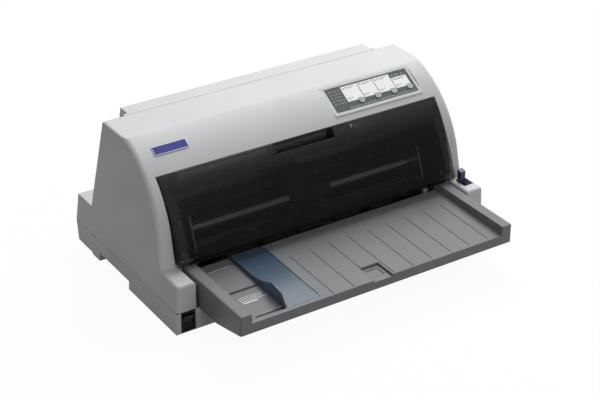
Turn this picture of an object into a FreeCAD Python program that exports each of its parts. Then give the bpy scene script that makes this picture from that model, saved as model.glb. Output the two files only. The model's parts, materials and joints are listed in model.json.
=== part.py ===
import FreeCAD, Part
import math
import os
import Sketcher

# Desktop flatbed dot matrix printer with a hinged smoked front cover and a sheet tray.
# Frame: X to the right, Y to the back, Z up, millimetres and degrees.
# The origin is the middle of the foot print, on the table.

SIZES = {
    # Case
    "case_width": 480,
    "case_height": 210,
    "case_depth": 281,
    "side_draft": 12.2,
    "case_wall": 3,
    "part_line": 32,
    "shoulder_z": 70,
    "shoulder_length": 44,
    "shoulder_round": 4,
    "bay_half": 210.4,
    "face_lean": 6,
    "face_z": 101,
    "brow_run": 95,
    "brow_radius": 133,
    "brow_round": 8,
    "roof_round": 3,
    "step_z": 74,
    "step_run": 40,
    "foot_lean": 7,
    "rear_lean": 35,
    "floor_z": 2,
    "heel_lift": 2.5,
    "heel_run": 47,
    "grip_setback": 127,
    "grip_length": 84,
    "grip_height": 14,
    "grip_depth": 20,
    "foot_radius": 6,
    "foot_inset": 12,
    "front_foot_setback": 16,
    "rear_foot_setback": 220.5,
    "foot_sink": 1,
    # Case screws and their posts
    "post_radius": 5,
    "post_inset": 9,
    "front_post_setback": 66,
    "rear_post_setback": 241,
    "upper_post_length": 16,
    "screw_radius": 1.8,
    "screw_length": 36,
    "screw_head_radius": 3.4,
    "screw_head_length": 2.2,
    # Front window and smoked cover
    "window_half": 214,
    "window_low": 71,
    "window_high": 177,
    "cover_gap": 1.5,
    "cover_top_gap": 0.5,
    "cover_top_run": 41,
    "cover_radius": 228,
    "cover_wall": 2.5,
    "cover_axis_out": 5.5,
    "cover_axis_z": 77.5,
    "cover_cheek_depth": 7,
    "roll_radius": 6.5,
    "roll_angle": 23,
    "knuckle_place": 201,
    "knuckle_width": 6,
    "knuckle_radius": 3.6,
    "knuckle_arm": 5,
    "hinge_pin_radius": 2,
    "notch_half": 45,
    "notch_depth": 11,
    "scoop_depth": 9,
    # Rear cover
    "rear_cover_half": 190,
    "rear_cover_roof": 25,
    "rear_cover_lean": 32,
    "rear_cover_low": 84,
    "rear_axis_radius": 4,
    "rear_opening_half": 180,
    "rear_opening_low": 76,
    "ear_width": 6,
    # Sheet tray
    "tray_reach": 99,
    "tray_half": 205.7,
    "tray_rail": 15.7,
    "tray_rail_z": 70,
    "tray_front_z": 57,
    "tray_back_z": 60,
    "tray_chin_z": 43.5,
    "tray_belly_z": 30,
    "tray_slope_run": 60,
    "tray_wall": 2.5,
    "tray_rim": 3,
    "groove_pitch": 30.15,
    "groove_count": 9,
    "groove_start": 71.5,
    "groove_width": 1,
    "groove_depth": 0.6,
    "groove_length": 102,
    "tray_rib": 1.6,
    "tray_rib_depth": 6,
    # Edge guide in its pocket on the left of the tray
    "guide_pocket_half": 190,
    "guide_right": 89,
    "guide_width": 49,
    "guide_thick": 2.2,
    "fin_thick": 2,
    "fin_peak": 17,
    "fin_setback": 24,
    "fin_crest": 20,
    "fin_crest_radius": 44,
    "fin_sweep_radius": 125,
    "fin_tail_share": 0.58,
    "key_width": 4,
    "key_depth": 2.2,
    # Sheet support that pulls out of the tray
    "support_centre": 1.5,
    "support_width": 86,
    "support_thick": 3,
    "support_length": 104,
    "support_low": 51,
    "thumb_width": 28,
    "thumb_length": 33,
    "slide_gap": 0.25,
    # Control panel
    "panel_left": 63,
    "panel_right": 194.5,
    "panel_low_run": 48.7,
    "panel_low_z": 184.6,
    "panel_length": 48.9,
    "panel_tilt": 30.2,
    "panel_margin": 5,
    "panel_thick": 2.4,
    "panel_well": 8,
    "panel_ledge": 2,
    "button_radius": 4.7,
    "button_rise": 1.6,
    "button_flange": 6,
    "button_travel": 1.2,
    "button_first": 106.8,
    "button_pitch": 26.4,
    "button_count": 4,
    "button_up": 14.5,
    "running_gap": 0.3,
    "board_thick": 1.6,
    "dome_height": 1.6,
    # Blank name plate
    "badge_left": 203,
    "badge_width": 48.5,
    "badge_height": 12.9,
    "badge_run": 68,
    "badge_z": 197.8,
    "badge_tilt": 31.7,
    "badge_thick": 1,
    # Power switch
    "switch_place": 222.5,
    "switch_z": 17.5,
    "switch_width": 20,
    "switch_height": 28,
    "switch_depth": 22,
    "switch_rim": 1.6,
    "rocker_width": 14.4,
    "rocker_height": 21,
    "rocker_tilt": 8,
    # Paper release lever
    "lever_place": 222,
    "lever_width": 8,
    "lever_setback": 29.5,
    "lever_axis_z": 44,
    "lever_top_z": 88,
    "lever_thick": 7,
    "lever_slot_width": 16,
    "lever_slot_length": 21,
    "lever_slot_place": 225,
    # Print mechanism frame
    "print_setback": 67,
    "frame_half": 176,
    "frame_sheet": 2,
    "frame_front": 54,
    "frame_back": 112,
    "frame_low": 8,
    "frame_top": 118,
    "paper_z": 60,
    "frame_post_radius": 5,
    "frame_post_place": 160,
    "pan_window_width": 56,
    "pan_window_pitch": 70,
    "pan_window_count": 3,
    # Gear train
    "gear_module": 1.5,
    "roller_teeth": 18,
    "train_teeth": 36,
    "pinion_teeth": 14,
    "relay_teeth": 25,
    "gear_width": 6,
    "gear_gap": 2,
    "relay_angle": 30.8,
    "pinion_angle": 40,
    "addendum_share": 0.8,
    "dedendum_share": 1.1,
    "tooth_share": 0.41,
    "flank_angle": 20,
    "web_holes": 5,
    # Rollers
    "feed_roller_radius": 8,
    "feed_shaft_radius": 4,
    "pinch_roller_radius": 5.8,
    "pinch_shaft_radius": 3,
    "nip_gap": 0.4,
    "sleeve_length": 36,
    "sleeve_pitch": 56,
    "sleeve_count": 5,
    "fit": 0.05,
    # Platen
    "platen_width": 20,
    "platen_height": 15,
    "platen_crown": 24,
    # Carriage
    "carriage_place": 9,
    "carriage_half": 30,
    "carriage_plate": 5,
    "guide_shaft_radius": 6,
    "guide_shaft_ahead": 25,
    "guide_shaft_z": 90,
    "bearing_wall": 4,
    "rail_behind": 37,
    "rail_sheet": 2,
    "rail_low": 96,
    "rail_web": 10,
    "rail_flange": 42,
    # Print head and ribbon cartridge
    "head_width": 34,
    "head_depth": 26,
    "head_low": 70,
    "head_top": 114,
    "nose_low": 61.6,
    "nose_width": 14,
    "nose_depth": 9,
    "head_slot": 2.4,
    "head_slot_pitch": 5.6,
    "head_slot_count": 6,
    "ribbon_width": 56,
    "ribbon_low": 67,
    # Carriage belt
    "belt_behind": 60,
    "belt_low": 86,
    "belt_height": 6,
    "belt_thick": 1.2,
    "pulley_radius": 6,
    "pulley_flange": 2.2,
    "pulley_flange_thick": 1,
    "pulley_place": 156,
    "axle_radius": 2.5,
    "motor_radius": 15.5,
    "motor_length": 30,
    "coil_band_depth": 1,
    "coil_band_low_share": 0.3,
    "coil_band_high_share": 0.7,
    # Tractors
    "tractor_place": 140,
    "tractor_width": 22,
    "tractor_radius": 15,
    "square_shaft": 6,
    "sprocket_radius": 10,
    "sprocket_width": 8,
    "sprocket_pins": 10,
    "sprocket_pin_radius": 1.4,
    "sprocket_pin_height": 2,
    "rod_radius": 4,
    # Rear paper guide and boards
    "paper_guide_sheet": 1.5,
    "board_z": 34,
    "board_width": 150,
    "board_depth": 62,
    "board_left": 100,
    "supply_width": 110,
    "supply_left": 60,
    "port_width": 56,
    "port_height": 13,
    "inlet_width": 28,
    "inlet_height": 20,
    "inlet_depth": 26,
    "inlet_place": 145,
    # Overrun of every cut, and how near an edge lies to the face it belongs to
    "overrun": 5,
    "edge_near": 1,
    "line_share": 0.01,
}

doc = FreeCAD.newDocument("dot_matrix_printer")
sheet = doc.addObject("Spreadsheet::Sheet", "sizes")
for row, (name, number) in enumerate(SIZES.items(), start=1):
    sheet.set("A%d" % row, name)
    sheet.set("B%d" % row, str(number))
    sheet.setAlias("B%d" % row, name)
doc.recompute()


class Size:
    """A value together with the spreadsheet formula that gives it."""

    def __init__(self, value, text):
        self.value = value
        self.text = text

    def __add__(self, other):
        other = as_size(other)
        return Size(self.value + other.value, "(%s + %s)" % (self.text, other.text))

    def __sub__(self, other):
        other = as_size(other)
        return Size(self.value - other.value, "(%s - %s)" % (self.text, other.text))

    def __rsub__(self, other):
        return as_size(other) - self

    def __mul__(self, other):
        other = as_size(other)
        return Size(self.value * other.value, "(%s * %s)" % (self.text, other.text))

    def __truediv__(self, other):
        other = as_size(other)
        return Size(self.value / other.value, "(%s / %s)" % (self.text, other.text))

    def __neg__(self):
        return Size(-self.value, "(-%s)" % self.text)

    __radd__ = __add__
    __rmul__ = __mul__


def as_size(number):
    """A plain number, such as a zero or a half, as a Size."""
    return number if isinstance(number, Size) else Size(number, "(%r)" % number)


def sine(angle):
    return Size(math.sin(math.radians(angle.value)), "sin(%s * 1 deg)" % angle.text)


def cosine(angle):
    return Size(math.cos(math.radians(angle.value)), "cos(%s * 1 deg)" % angle.text)


class Sheet:
    """Every named size as an attribute."""

    def __init__(self, numbers):
        for name, number in numbers.items():
            setattr(self, name, Size(number, "sizes." + name))


dim = Sheet(SIZES)
LEFT, RIGHT = -1, 1
SIDES = (LEFT, RIGHT)
AXES = {"XY": "XY_Plane", "XZ": "XZ_Plane", "YZ": "YZ_Plane"}
TURNS = {
    "XY": FreeCAD.Rotation(),
    "XZ": FreeCAD.Rotation(FreeCAD.Vector(1, 0, 0), 90),
    "YZ": FreeCAD.Rotation(FreeCAD.Vector(1, 1, 1), 120),
}
NODES = []


def ring(x, y, radius):
    return {"x": as_size(x), "y": as_size(y), "radius": radius}


def rectangle(left, right, low, high):
    return [(left, low), (right, low), (right, high), (left, high)]


def pin_point(sketch, index, end, x, y):
    """Fix one point of a sketch at x, y by dimensions bound to the sheet."""
    for kind, axis, length in (("DistanceX", -2, as_size(x)), ("DistanceY", -1, as_size(y))):
        if length.value == 0:
            sketch.addConstraint(Sketcher.Constraint("PointOnObject", index, end, axis))
            continue
        number = sketch.addConstraint(Sketcher.Constraint(kind, -1, 1, index, end, length.value))
        sketch.setExpression("Constraints[%d]" % number, length.text)


def arc_between(start, end, radius):
    """The short arc from start to end, bulging left of the way if the radius is positive."""
    chord = end - start
    middle = (start + end) * 0.5
    left = FreeCAD.Vector(-chord.y, chord.x, 0).normalize()
    height = math.sqrt(radius * radius - chord.Length * chord.Length / 4)
    centre = middle - left * math.copysign(height, radius)
    first, last = (end, start) if radius > 0 else (start, end)
    angles = [math.atan2(point.y - centre.y, point.x - centre.x) for point in (first, last)]
    if angles[1] < angles[0]:
        angles[1] += 2 * math.pi
    circle = Part.Circle(centre, FreeCAD.Vector(0, 0, 1), abs(radius))
    return Part.ArcOfCircle(circle, angles[0], angles[1])


def draw_outline(sketch, points):
    """A closed outline of lines and arcs; a third entry of a point is the radius of its arc."""
    corners = [FreeCAD.Vector(as_size(point[0]).value, as_size(point[1]).value, 0) for point in points]
    ends = []
    for place, point in enumerate(points):
        start = corners[place]
        end = corners[(place + 1) % len(points)]
        if len(point) == 3:
            index = sketch.addGeometry(arc_between(start, end, point[2].value), False)
            ends.append((index, 2, 1) if point[2].value > 0 else (index, 1, 2))
        else:
            index = sketch.addGeometry(Part.LineSegment(start, end), False)
            ends.append((index, 1, 2))
    for place, point in enumerate(points):
        index, start, end = ends[place]
        following = ends[(place + 1) % len(points)]
        pin_point(sketch, index, start, point[0], point[1])
        sketch.addConstraint(Sketcher.Constraint("Coincident", index, end, following[0], following[1]))
        if len(point) == 3:
            radius = point[2] if point[2].value > 0 else -point[2]
            number = sketch.addConstraint(Sketcher.Constraint("Radius", index, radius.value))
            sketch.setExpression("Constraints[%d]" % number, radius.text)


def draw(sketch, shapes):
    for shape in shapes:
        if isinstance(shape, list):
            draw_outline(sketch, shape)
            continue
        centre = FreeCAD.Vector(shape["x"].value, shape["y"].value, 0)
        circle = Part.Circle(centre, FreeCAD.Vector(0, 0, 1), shape["radius"].value)
        index = sketch.addGeometry(circle, False)
        pin_point(sketch, index, 3, shape["x"], shape["y"])
        number = sketch.addConstraint(Sketcher.Constraint("Radius", index, shape["radius"].value))
        sketch.setExpression("Constraints[%d]" % number, shape["radius"].text)
    return sketch


def bind(thing, prop, size):
    size = as_size(size)
    thing.setExpression(prop, size.text)


def move_to(thing, x=0, y=0, z=0, axis=None, angle=None):
    """The Placement of a sub-part, bound to the sheet."""
    if axis is not None:
        angle = as_size(angle)
        thing.Placement = FreeCAD.Placement(
            FreeCAD.Vector(), FreeCAD.Rotation(FreeCAD.Vector(*axis), angle.value))
        bind(thing, "Placement.Rotation.Angle", Size(angle.value, angle.text + " * 1 deg"))
    for letter, size in (("x", x), ("y", y), ("z", z)):
        bind(thing, "Placement.Base." + letter, size)


def is_line_along(edge, letter):
    """Whether an edge is straight and runs along an axis."""
    box = edge.BoundBox
    lengths = {"x": box.XLength, "y": box.YLength, "z": box.ZLength}
    run = lengths.pop(letter)
    return max(lengths.values()) < run * dim.line_share.value


def is_near(number, size):
    return abs(number - size.value) < dim.edge_near.value


def keep(thing, name):
    """Give a finished sub-part its name and list it for export."""
    thing.Label = name
    NODES.append(thing)
    return thing


def new_body(name):
    body = doc.addObject("PartDesign::Body", name)
    return body


def origin_part(body, role):
    return [feature for feature in body.Origin.OriginFeatures if feature.Role == role][0]


def body_sketch(body, plane, shapes, level):
    """A sketch on an origin plane of its own body, shifted along that plane's axis to level."""
    sketch = body.newObject("Sketcher::SketchObject", "outline")
    sketch.AttachmentSupport = (origin_part(body, AXES[plane]), [""])
    sketch.MapMode = "FlatFace"
    level = as_size(level)
    bind(sketch, "AttachmentOffset.Base.z", -level if plane == "XZ" else level)
    return draw(sketch, shapes)


def add(body, plane, shapes, low, high, name="pad"):
    """Pad the outlines from low to high along the axis that stands on the plane."""
    pad = body.newObject("PartDesign::Pad", name)
    pad.Profile = (body_sketch(body, plane, shapes, low), [""])
    pad.Reversed = plane == "XZ"
    bind(pad, "Length", as_size(high) - low)
    return pad


def remove(body, plane, shapes, low, high, name="pocket"):
    """Cut the outlines out from low to high along the axis that stands on the plane."""
    doc.recompute()
    before = body.Shape.Volume
    pocket = body.newObject("PartDesign::Pocket", name)
    pocket.Profile = (body_sketch(body, plane, shapes, low), [""])
    pocket.Reversed = plane != "XZ"
    bind(pocket, "Length", as_size(high) - low)
    doc.recompute()
    if body.Shape.Volume >= before:
        raise ValueError("a cut in %s takes nothing away" % body.Name)
    return pocket


def around(body, feature, axis, count):
    pattern = body.newObject("PartDesign::PolarPattern", "pattern")
    pattern.Originals = [feature]
    pattern.Axis = (origin_part(body, axis), [""])
    pattern.Angle = 360
    bind(pattern, "Occurrences", count)
    body.Tip = pattern
    return pattern


def along(body, feature, axis, pitch, count):
    pattern = body.newObject("PartDesign::LinearPattern", "pattern")
    pattern.Originals = [feature]
    pattern.Direction = (origin_part(body, axis), [""])
    bind(pattern, "Length", (count - 1) * pitch)
    bind(pattern, "Occurrences", count)
    body.Tip = pattern
    return pattern


def chosen_edges(shape, test):
    return [number for number, edge in enumerate(shape.Edges, start=1) if test(edge)]


def round_edges(body, radius, test, kind="PartDesign::Fillet"):
    """Fillet or chamfer the edges of a body that pass the test."""
    doc.recompute()
    feature = body.newObject(kind, "edge")
    names = ["Edge%d" % number for number in chosen_edges(body.Shape, test)]
    if not names:
        raise ValueError("no edge to round on %s" % body.Name)
    feature.Base = (feature.BaseFeature, names)
    bind(feature, "Size" if kind == "PartDesign::Chamfer" else "Radius", radius)
    doc.recompute()
    return feature


def prism(name, plane, shapes, low, high):
    """An extrusion of free outlines from low to high along the axis that stands on the plane."""
    sketch = doc.addObject("Sketcher::SketchObject", name + "_outline")
    sketch.Placement = FreeCAD.Placement(FreeCAD.Vector(), TURNS[plane])
    letter = {"XY": "z", "XZ": "y", "YZ": "x"}[plane]
    bind(sketch, "Placement.Base." + letter, low)
    draw(sketch, shapes)
    solid = doc.addObject("Part::Extrusion", name)
    solid.Base = sketch
    solid.DirMode = "Custom"
    solid.Dir = FreeCAD.Vector(*[float(letter == other) for other in "xyz"])
    solid.Solid = True
    bind(solid, "LengthFwd", as_size(high) - low)
    return solid


def block(name, left, right, front, back, low, high):
    box = doc.addObject("Part::Box", name)
    bind(box, "Length", as_size(right) - left)
    bind(box, "Width", as_size(back) - front)
    bind(box, "Height", as_size(high) - low)
    move_to(box, left, front, low)
    return box


def rod(name, radius, x, y, z, length, axis="x"):
    """A cylinder that starts at x, y, z and runs along an axis."""
    cylinder = doc.addObject("Part::Cylinder", name)
    bind(cylinder, "Radius", radius)
    bind(cylinder, "Height", length)
    turns = {"x": ((0, 1, 0), 90), "y": ((1, 0, 0), -90), "z": ((0, 0, 1), 0)}
    move_to(cylinder, x, y, z, turns[axis][0], turns[axis][1])
    return cylinder


def common(name, first, second):
    result = doc.addObject("Part::MultiCommon", name)
    result.Shapes = [first, second]
    return result


def fuse(name, parts):
    result = doc.addObject("Part::MultiFuse", name)
    result.Shapes = parts
    return result


def cut(name, base, tools):
    """Cut the tools from the base and make sure that each takes something away."""
    doc.recompute()
    for tool in tools:
        if base.Shape.common(tool.Shape).Volume <= 0:
            raise ValueError("%s takes nothing from %s" % (tool.Name, base.Name))
    result = doc.addObject("Part::Cut", name)
    result.Base = base
    result.Tool = tools[0] if len(tools) == 1 else fuse(name + "_tools", tools)
    return result


def fillet(name, base, radius, test):
    doc.recompute()
    result = doc.addObject("Part::Fillet", name)
    result.Base = base
    numbers = chosen_edges(base.Shape, test)
    if not numbers:
        raise ValueError("no edge to round on %s" % base.Name)
    result.Edges = [(number, radius.value, radius.value) for number in numbers]
    doc.recompute()
    return result


def group(name, parts):
    """Like pieces that share one node, as separate solids."""
    result = doc.addObject("Part::Compound", name)
    result.Links = parts
    return result

# Places along Y and Z that several pieces share
REAR = (dim.case_depth + dim.tray_reach) / 2
FRONT = REAR - dim.case_depth
FACE = FRONT + dim.shoulder_length
TRAY_FRONT = FRONT - dim.tray_reach
CREASE = FACE + dim.brow_run
STEP_FRONT = REAR - dim.foot_lean - dim.step_run
ROOF_BACK = STEP_FRONT - dim.rear_lean
COVER_Y = FACE - dim.cover_axis_out
PRINT_Y = FACE + dim.print_setback
PAPER = dim.paper_z
FLOOR = dim.floor_z + dim.case_wall
OVER = dim.overrun


def half_width(z):
    """Half the width of the case at a height, by the draft of its sides."""
    return dim.case_width / 2 - dim.side_draft * z / dim.case_height


def rear_wall(z):
    """Y of the leaning rear wall of the upper case at a height."""
    return STEP_FRONT - dim.rear_lean * (z - dim.step_z) / (dim.case_height - dim.step_z)


def case_section(inset, foot):
    """The side profile of the upper case, moved inwards by inset, down to foot."""
    points = [
        (FRONT + inset, foot),
        (FRONT + inset, dim.shoulder_z - inset),
        (FACE + inset, dim.shoulder_z - inset),
        (FACE + dim.face_lean + inset, dim.face_z, dim.brow_radius - inset),
        (CREASE, dim.case_height - inset),
        (ROOF_BACK - inset, dim.case_height - inset),
        (STEP_FRONT - inset, dim.step_z - inset),
        (REAR - dim.foot_lean - inset, dim.step_z - inset),
        (REAR - inset, dim.part_line),
    ]
    if foot.value < dim.part_line.value:
        points.append((REAR - inset, foot))
    return points


def case_front(inset, low, high):
    """The front view of the case between two heights, narrowing upwards by its draft."""
    return [
        (inset - half_width(low), low),
        (half_width(low) - inset, low),
        (half_width(high) - inset, high),
        (inset - half_width(high), high),
    ]


def on_front_edge(edge):
    """The long front edges of the case sides, above the shoulders."""
    middle = edge.CenterOfMass
    return (
        middle.y < CREASE.value
        and middle.z > dim.shoulder_z.value + dim.edge_near.value
        and abs(middle.x) > dim.bay_half.value
        and edge.BoundBox.ZLength > dim.case_wall.value
    )


def on_roof_side(edge):
    middle = edge.CenterOfMass
    return is_near(middle.z, dim.case_height) and edge.BoundBox.XLength < dim.edge_near.value


def on_shoulder(edge):
    middle = edge.CenterOfMass
    near = dim.edge_near.value
    beside = abs(middle.x) - dim.bay_half.value
    return (
        middle.y < FACE.value - near
        and middle.z > dim.part_line.value + dim.case_wall.value
        and (beside > near or middle.z > dim.shoulder_z.value - near)
        and beside > -near
    )


def case_posts(low, length, radius):
    """The four screw posts of the case, or the holes in them."""
    posts = []
    for side in SIDES:
        for setback in (dim.front_post_setback, dim.rear_post_setback):
            x = side * (half_width(dim.part_line) - dim.post_inset)
            posts.append(rod("post", radius, x, FRONT + setback, low, length, "z"))
    return posts


def panel_frame(thing):
    """Stand a piece on the slope of the control panel, X right, Y up the slope, Z out."""
    middle = dim.panel_length / 2
    move_to(
        thing,
        0,
        FACE + dim.panel_low_run + middle * cosine(dim.panel_tilt),
        dim.panel_low_z + middle * sine(dim.panel_tilt),
        (1, 0, 0),
        dim.panel_tilt,
    )
    return thing


def badge_frame(thing):
    """Stand a piece on the slope of the name plate."""
    move_to(thing, 0, FACE + dim.badge_run, dim.badge_z, (1, 0, 0), dim.badge_tilt)
    return thing


def badge_outline(gap):
    half = dim.badge_height / 2 + gap
    return rectangle(-dim.badge_left - gap, dim.badge_width - dim.badge_left + gap, -half, half)


def panel_outline(gap):
    half = dim.panel_length / 2 - dim.panel_margin + gap
    return rectangle(dim.panel_left - gap, dim.panel_right + gap, -half, half)


def slope_body(name, frame, outline, low, high):
    """A block that stands on one of the slopes, for cutting or joining."""
    body = new_body(name)
    add(body, "XY", [outline], low, high)
    frame(body)
    return body


def make_upper_case():
    outside = common(
        "case_solid",
        prism("case_length", "YZ", [case_section(as_size(0), dim.part_line)],
              -dim.case_width / 2, dim.case_width / 2),
        prism("case_taper", "XZ", [case_front(as_size(0), as_size(0), dim.case_height)], FRONT, REAR),
    )
    bay = block("tray_bay", -dim.bay_half, dim.bay_half, FRONT - OVER, FACE, dim.floor_z, dim.case_height)
    solid = cut("case_with_bay", outside, [bay])
    solid = fillet("case_brow_round", solid, dim.brow_round, on_front_edge)
    solid = fillet("case_roof_round", solid, dim.roof_round, on_roof_side)
    solid = fillet("case_shoulder_round", solid, dim.shoulder_round, on_shoulder)
    inside = common(
        "case_hollow",
        prism("hollow_length", "YZ", [case_section(dim.case_wall, dim.part_line - OVER)],
              -dim.case_width / 2, dim.case_width / 2),
        prism("hollow_taper", "XZ",
              [case_front(dim.case_wall, as_size(0), dim.case_height)], FRONT, REAR),
    )
    bay_wall = block(
        "bay_wall", -dim.bay_half - dim.case_wall, dim.bay_half + dim.case_wall,
        FRONT - OVER, FACE + dim.case_wall, dim.floor_z, dim.case_height,
    )
    inside = cut("case_hollow_behind_bay", inside, [bay_wall])
    shell = cut("case_shell", solid, [inside])
    # Collar, ears, knuckles and posts that carry what the case holds
    collar = slope_body(
        "panel_collar", panel_frame, panel_outline(dim.panel_margin - dim.running_gap),
        -dim.panel_well, 0)
    shell = fuse("case_with_fittings", [shell, collar] + make_knuckles() + make_ears() + upper_posts())
    window = block(
        "window", -dim.window_half, dim.window_half, FRONT, CREASE - dim.print_setback / 2,
        dim.window_low, dim.window_high)
    knuckle_room = [
        block("knuckle_room", side * dim.knuckle_place - dim.knuckle_width / 2,
              side * dim.knuckle_place + dim.knuckle_width / 2,
              COVER_Y - dim.roll_radius, FACE + dim.case_wall, dim.window_low - OVER,
              dim.cover_axis_z + dim.roll_radius)
        for side in SIDES
    ]
    window = cut("window_between_knuckles", window, knuckle_room)
    slot = block("sheet_slot", -dim.guide_pocket_half, dim.guide_pocket_half, FACE - OVER,
                 FACE + dim.case_wall + OVER, dim.tray_front_z - dim.tray_wall, dim.window_low)
    rear_opening = block(
        "rear_opening", -dim.rear_opening_half, dim.rear_opening_half, ROOF_BACK - dim.case_wall,
        STEP_FRONT + OVER, dim.rear_opening_low, dim.case_height - dim.rear_axis_radius * 2)
    rear_notch = block(
        "rear_notch", -dim.rear_cover_half - dim.running_gap, dim.rear_cover_half + dim.running_gap,
        ROOF_BACK - dim.running_gap, STEP_FRONT,
        dim.case_height - dim.rear_axis_radius * 2 - dim.running_gap, dim.case_height + OVER)
    lever_y = FRONT + dim.lever_setback
    lever_slot = block(
        "lever_slot", dim.lever_slot_place - dim.lever_slot_width / 2,
        dim.lever_slot_place + dim.lever_slot_width / 2, lever_y - dim.lever_slot_length + dim.lever_thick,
        lever_y + dim.lever_thick, dim.shoulder_z - dim.case_wall - OVER, dim.shoulder_z + OVER)
    panel_seat = slope_body(
        "panel_seat", panel_frame, panel_outline(dim.running_gap), -dim.panel_thick, OVER)
    panel_room = slope_body(
        "panel_room", panel_frame, panel_outline(-dim.panel_ledge), -dim.panel_well - OVER, OVER)
    panel_recess = slope_body(
        "panel_recess", panel_frame, panel_outline(dim.panel_margin), 0, OVER)
    badge_recess = slope_body(
        "badge_recess", badge_frame, badge_outline(dim.fit), -dim.badge_thick / 2, OVER)
    holes = case_posts(dim.part_line, dim.upper_post_length - dim.case_wall, dim.screw_radius)
    shell = cut(
        "upper_case", shell,
        [window, slot, rear_opening, rear_notch, lever_slot, panel_seat, panel_room, panel_recess,
         badge_recess] + holes + rear_ports(dim.running_gap))
    return keep(shell, "upper_case")


def make_knuckles():
    """Arms from the bay wall that carry the pins of the smoked cover."""
    arms = []
    back = FACE + dim.case_wall
    rise = dim.knuckle_arm / 2
    outline = [
        (FACE, dim.tray_front_z),
        (back, dim.tray_front_z),
        (back, dim.cover_axis_z + rise),
        (COVER_Y, dim.cover_axis_z + rise),
        (COVER_Y, dim.cover_axis_z - rise),
        (FACE, dim.cover_axis_z - rise),
    ]
    for side in SIDES:
        low = side * dim.knuckle_place - dim.knuckle_width / 2
        arm = prism("knuckle_arm", "YZ", [outline], low, low + dim.knuckle_width)
        eye = rod("knuckle_eye", dim.knuckle_radius, low, COVER_Y, dim.cover_axis_z, dim.knuckle_width)
        bore = rod("knuckle_bore", dim.hinge_pin_radius + dim.fit, low - OVER, COVER_Y, dim.cover_axis_z,
                   dim.knuckle_width + 2 * OVER)
        arms.append(cut("knuckle", fuse("knuckle_blank", [arm, eye]), [bore]))
    return arms


def make_ears():
    """Ears behind the roof that carry the pins of the rear cover."""
    ears = []
    radius = dim.rear_axis_radius
    axis_y = ROOF_BACK + radius
    axis_z = dim.case_height - radius
    for side in SIDES:
        inner = dim.rear_cover_half + dim.running_gap
        low = inner if side == RIGHT else -inner - dim.ear_width
        eye = rod("ear_eye", radius, low, axis_y, axis_z, dim.ear_width)
        root = block("ear_root", low, low + dim.ear_width, ROOF_BACK - dim.case_wall, axis_y,
                     axis_z - radius, dim.case_height)
        bore = rod("ear_bore", dim.hinge_pin_radius + dim.fit, low - OVER, axis_y, axis_z,
                   dim.ear_width + 2 * OVER)
        ears.append(cut("ear", fuse("ear_blank", [eye, root]), [bore]))
    return ears


def upper_posts():
    """Screw posts of the upper case, each with a rib to its side wall."""
    posts = case_posts(dim.part_line, dim.upper_post_length, dim.post_radius)
    top = dim.part_line + dim.upper_post_length
    for side in SIDES:
        for setback in (dim.front_post_setback, dim.rear_post_setback):
            y = FRONT + setback
            near = side * (half_width(dim.part_line) - dim.post_inset)
            far = side * (half_width(top) - dim.case_wall / 2)
            low, high = (near, far) if side == RIGHT else (far, near)
            posts.append(block("post_rib", low, high, y - dim.case_wall / 2, y + dim.case_wall / 2,
                               dim.part_line, top))
    return posts


def rear_ports(gap):
    """Openings in the rear face for the data port and the power inlet."""
    top = dim.board_z + dim.board_thick
    deep = dim.inlet_depth
    return [
        block("port_window", PORT_X - dim.port_width / 2 - gap, PORT_X + dim.port_width / 2 + gap,
              REAR - deep, REAR + OVER, top - gap, top + dim.port_height + gap),
        block("inlet_window", dim.inlet_place - dim.inlet_width / 2 - gap,
              dim.inlet_place + dim.inlet_width / 2 + gap, REAR - deep, REAR + OVER,
              top - gap, top + dim.inlet_height + gap),
    ]


PORT_X = dim.board_width / 2 - dim.board_left


def lower_section(inset, top):
    """The side profile of the lower case, with its raised heel."""
    low = dim.floor_z + inset
    heel = dim.floor_z + dim.heel_lift + inset
    return [
        (FRONT + inset, top),
        (FRONT + inset, low),
        (REAR - dim.heel_run - dim.heel_lift, low),
        (REAR - dim.heel_run, heel),
        (REAR - dim.foot_lean - inset, heel),
        (REAR - inset, dim.part_line),
    ] + ([(REAR - inset, top)] if top.value > dim.part_line.value else [])


def grip(side, grow):
    """The hand grip under one side; grown by a wall it shapes the inside."""
    front = FRONT + dim.grip_setback
    near = side * (dim.case_width / 2 - dim.grip_depth - grow)
    far = side * (dim.case_width / 2 + OVER)
    low, high = (near, far) if side == RIGHT else (far, near)
    return block("grip", low, high, front - grow, front + dim.grip_length + grow, -OVER,
                 dim.grip_height + grow)


def foot_places():
    for side in SIDES:
        for setback in (dim.front_foot_setback, dim.rear_foot_setback):
            yield side * (dim.case_width / 2 - dim.foot_inset), FRONT + setback


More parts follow.
